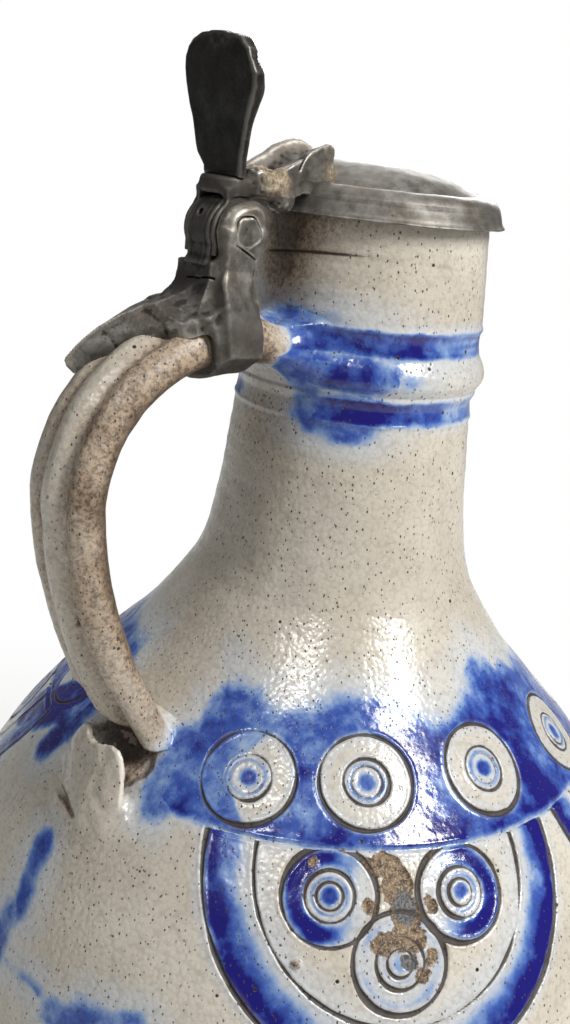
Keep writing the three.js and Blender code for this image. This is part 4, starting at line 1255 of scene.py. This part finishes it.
def make_lid(pewter):
    """The turned lid: section and dents come from its node tree, then it is made a plain mesh."""
    line, _ = curve(LID_LINE, 0.35)
    tree = turned_tree(line[np.linspace(0, len(line) - 1, 150).round().astype(int)], 260)
    holder = put("turning", bpy.data.meshes.new("turning"))
    modifier = holder.modifiers.new("turned", "NODES")
    modifier.node_group = tree
    ids = {s.name: s.identifier for s in tree.interface.items_tree if s.in_out == "INPUT"}
    for name, value in (("Columns", 200), ("Dent Depth", 0.0007), ("Dent Size", 0.011), ("Seed", 3.0),
                        ("Finish", pewter)):
        modifier[ids[name]] = value
    bpy.context.view_layer.update()
    made = bpy.data.meshes.new_from_object(holder.evaluated_get(bpy.context.evaluated_depsgraph_get()))
    bpy.data.objects.remove(holder)
    made.name = "turned_lid"
    places = np.empty(len(made.vertices) * 3, np.float32)
    made.vertices.foreach_get("co", places)
    x, y, z = places.reshape(-1, 3).T * 1000
    radius = np.hypot(x, y)
    edge = 0.5 * np.exp(-((radius - 28.9) ** 2 + (z - 341.0) ** 2) / 0.5)
    edge = edge + 0.5 * np.exp(-((radius - 34.8) ** 2 + (z - 333.4) ** 2) / 0.4) + 0.05
    edge -= 0.6 * np.exp(-((radius - 27.4) ** 2 + (z - 340.6) ** 2) / 0.25)
    edge -= 0.3 * (z < 338.4) * (radius < 33.2)
    seam = np.exp(-((x + 25.5) ** 2 + (y + 4) ** 2 + (z - 342) ** 2) / 30)
    write_marks(made, {"edge": edge, "lime": 0.8 * seam})
    lid = put("turned_lid", made)
    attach(lid, "lid_group")
    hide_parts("lid")


def make_mount(pewter, dark):
    size = 0.28 if FINE else 0.6
    mount = cast("handle_mount", (-93, -18, 286), (-42, 20, 337), size, mount_distance, pewter, "jug",
                 mount_marks)
    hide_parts("handle_band", "handle_tongue", "hinge_stand", "hinge_block", "hinge_cheek")
    plug = cast("pin_and_plug", (-60, -10.5, 321), (-47, 8.2, 335), size * 0.8, plug_distance, pewter,
                "jug", {"lime": 0.0})
    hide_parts("hinge_pin", "pin_plug")
    arm = cast("arm_and_leaves", (-62.5, -10.2, 319), (-21.5, 9.2, 352.5), size, casting_distance, pewter,
               "lid_group", casting_marks)
    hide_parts("lid_arm", "near_leaf", "far_leaf", "thumb_collar")
    # The blade takes the darkened pewter, painted shade.
    blade = cast("thumbpiece_shell", (-61, -13.6, 339.5), (-49.5, 14.6, 373), size, blade_distance, dark,
                 "lid_group", {"lime": 0.0})
    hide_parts("thumbpiece")
    make_lid(pewter)


# The table, the light and the view.

def lamp(name, place, aim, size, power, colour, only_seen=False):
    data = bpy.data.lights.new(name, "AREA")
    data.shape = "RECTANGLE"
    data.size, data.size_y = size
    data.energy = power
    data.color = colour
    thing = put(name, data)
    thing.location = place
    thing.rotation_mode = "QUATERNION"
    thing.rotation_quaternion = (Vector(aim) - Vector(place)).to_track_quat("-Z", "Y")
    thing.visible_diffuse = not only_seen


def studio():
    """Three soft windows, two panes that are only mirrored, and a room that the camera sees as white."""
    middle = (0, 0, 0.2)
    lamp("window_key", (0.20, -0.98, 1.18), (-0.02, -0.06, 0.22), (0.36, 0.62), 25.0, (1.0, 0.985, 0.96))
    lamp("window_left", (-1.5, 0.25, 0.7), middle, (0.7, 0.9), 1.6, (0.93, 0.96, 1.0))
    lamp("pane_near", (-0.91, -0.5, 1.36), middle, (0.34, 0.2), 7.0, (1.0, 1.0, 1.0), True)
    lamp("pane_behind", (1.16, 0.84, 0.8), middle, (0.5, 0.5), 24.0, (1.0, 1.0, 1.0), True)
    lamp("window_top", (0.35, 0.5, 1.5), middle, (0.9, 0.9), 7.0, (1.0, 1.0, 1.0))
    world = bpy.data.worlds.new("soft_room")
    bpy.context.scene.world = world
    world.use_nodes = True
    tree = world.node_tree
    tree.nodes.clear()
    seen = new_node(tree, "ShaderNodeBackground", {}, {"Color": (1, 1, 1, 1)})
    room = new_node(tree, "ShaderNodeBackground", {}, {"Color": (0.19, 0.195, 0.2, 1)})
    path = new_node(tree, "ShaderNodeLightPath", {}, {})
    pick = new_node(tree, "ShaderNodeMixShader", {}, {0: path.outputs["Is Camera Ray"], 1: room.outputs[0],
                                                      2: seen.outputs[0]})
    new_node(tree, "ShaderNodeOutputWorld", {}, {"Surface": pick.outputs[0]})


def table():
    """The plain pale floor, which fades into the white room away from the jug."""
    f = Finish("pale_table")
    far = f.node("ShaderNodeVectorMath", {"operation": "LENGTH"}, {0: f.place}, "Value").between(0.22, 0.5)
    seen = f.node("ShaderNodeLightPath", {}, {}, "Is Camera Ray")
    f.feed(base_color=paint(232, 232, 230), roughness=0.8)
    white = new_node(f.tree, "ShaderNodeEmission", {}, {})
    faded = new_node(f.tree, "ShaderNodeMixShader", {}, {0: (far * seen).socket, 1: f.shader.outputs["BSDF"],
                                                         2: white.outputs["Emission"]})
    f.tree.links.new(faded.outputs[0], f.output.inputs["Surface"])
    mesh = bpy.data.meshes.new("table")
    mesh.from_pydata([(-3, -3, 0), (3, -3, 0), (3, 3, 0), (-3, 3, 0)], [], [(0, 1, 2, 3)])
    mesh.materials.append(f.material)
    put("table", mesh)


def camera():
    data = bpy.data.cameras.new("camera")
    data.lens = 42.19
    data.sensor_width = 36
    eye = put("camera", data)
    eye.location = (-0.24624, -0.22564, 0.34938)
    eye.rotation_euler = [math.radians(a) for a in (72.855, -6.092, -42.987)]
    bpy.context.scene.camera = eye
    bpy.context.scene.view_settings.view_transform = "Standard"


# Everything in place.

def make_jug():
    glaze = salt_glaze()
    fine = 1.0 if FINE else 0.5
    neck_end, belly_start = float(down_at(232)), float(down_at(127))
    for name, first, last, columns, rows, sectors in (
            ("neck", 0.0, neck_end, 520, 290, 2), ("shoulder", neck_end, belly_start, 1400, 330, 8),
            ("belly", belly_start, wall_down[-1], 480, 120, 1)):
        wall_piece(name, first, last, int(columns * fine) // 8 * 8, int(rows * fine) // 8 * 8, sectors, glaze)
    lathe("hollow", HOLLOW, 120, glaze, 0.5)
    lathe("foot", FOOT, 160, glaze, 0.2)
    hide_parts("jug_body")
    make_handle(glaze)
    # The thumbpiece's finish is the pewter at 0.4 tone and less rubbed: painted shade for the dark room that its face
    # mirrors.
    make_mount(old_pewter("worn_pewter"), old_pewter("dark_pewter", 0.4, 0.3))


make_jug()
table()
studio()
camera()
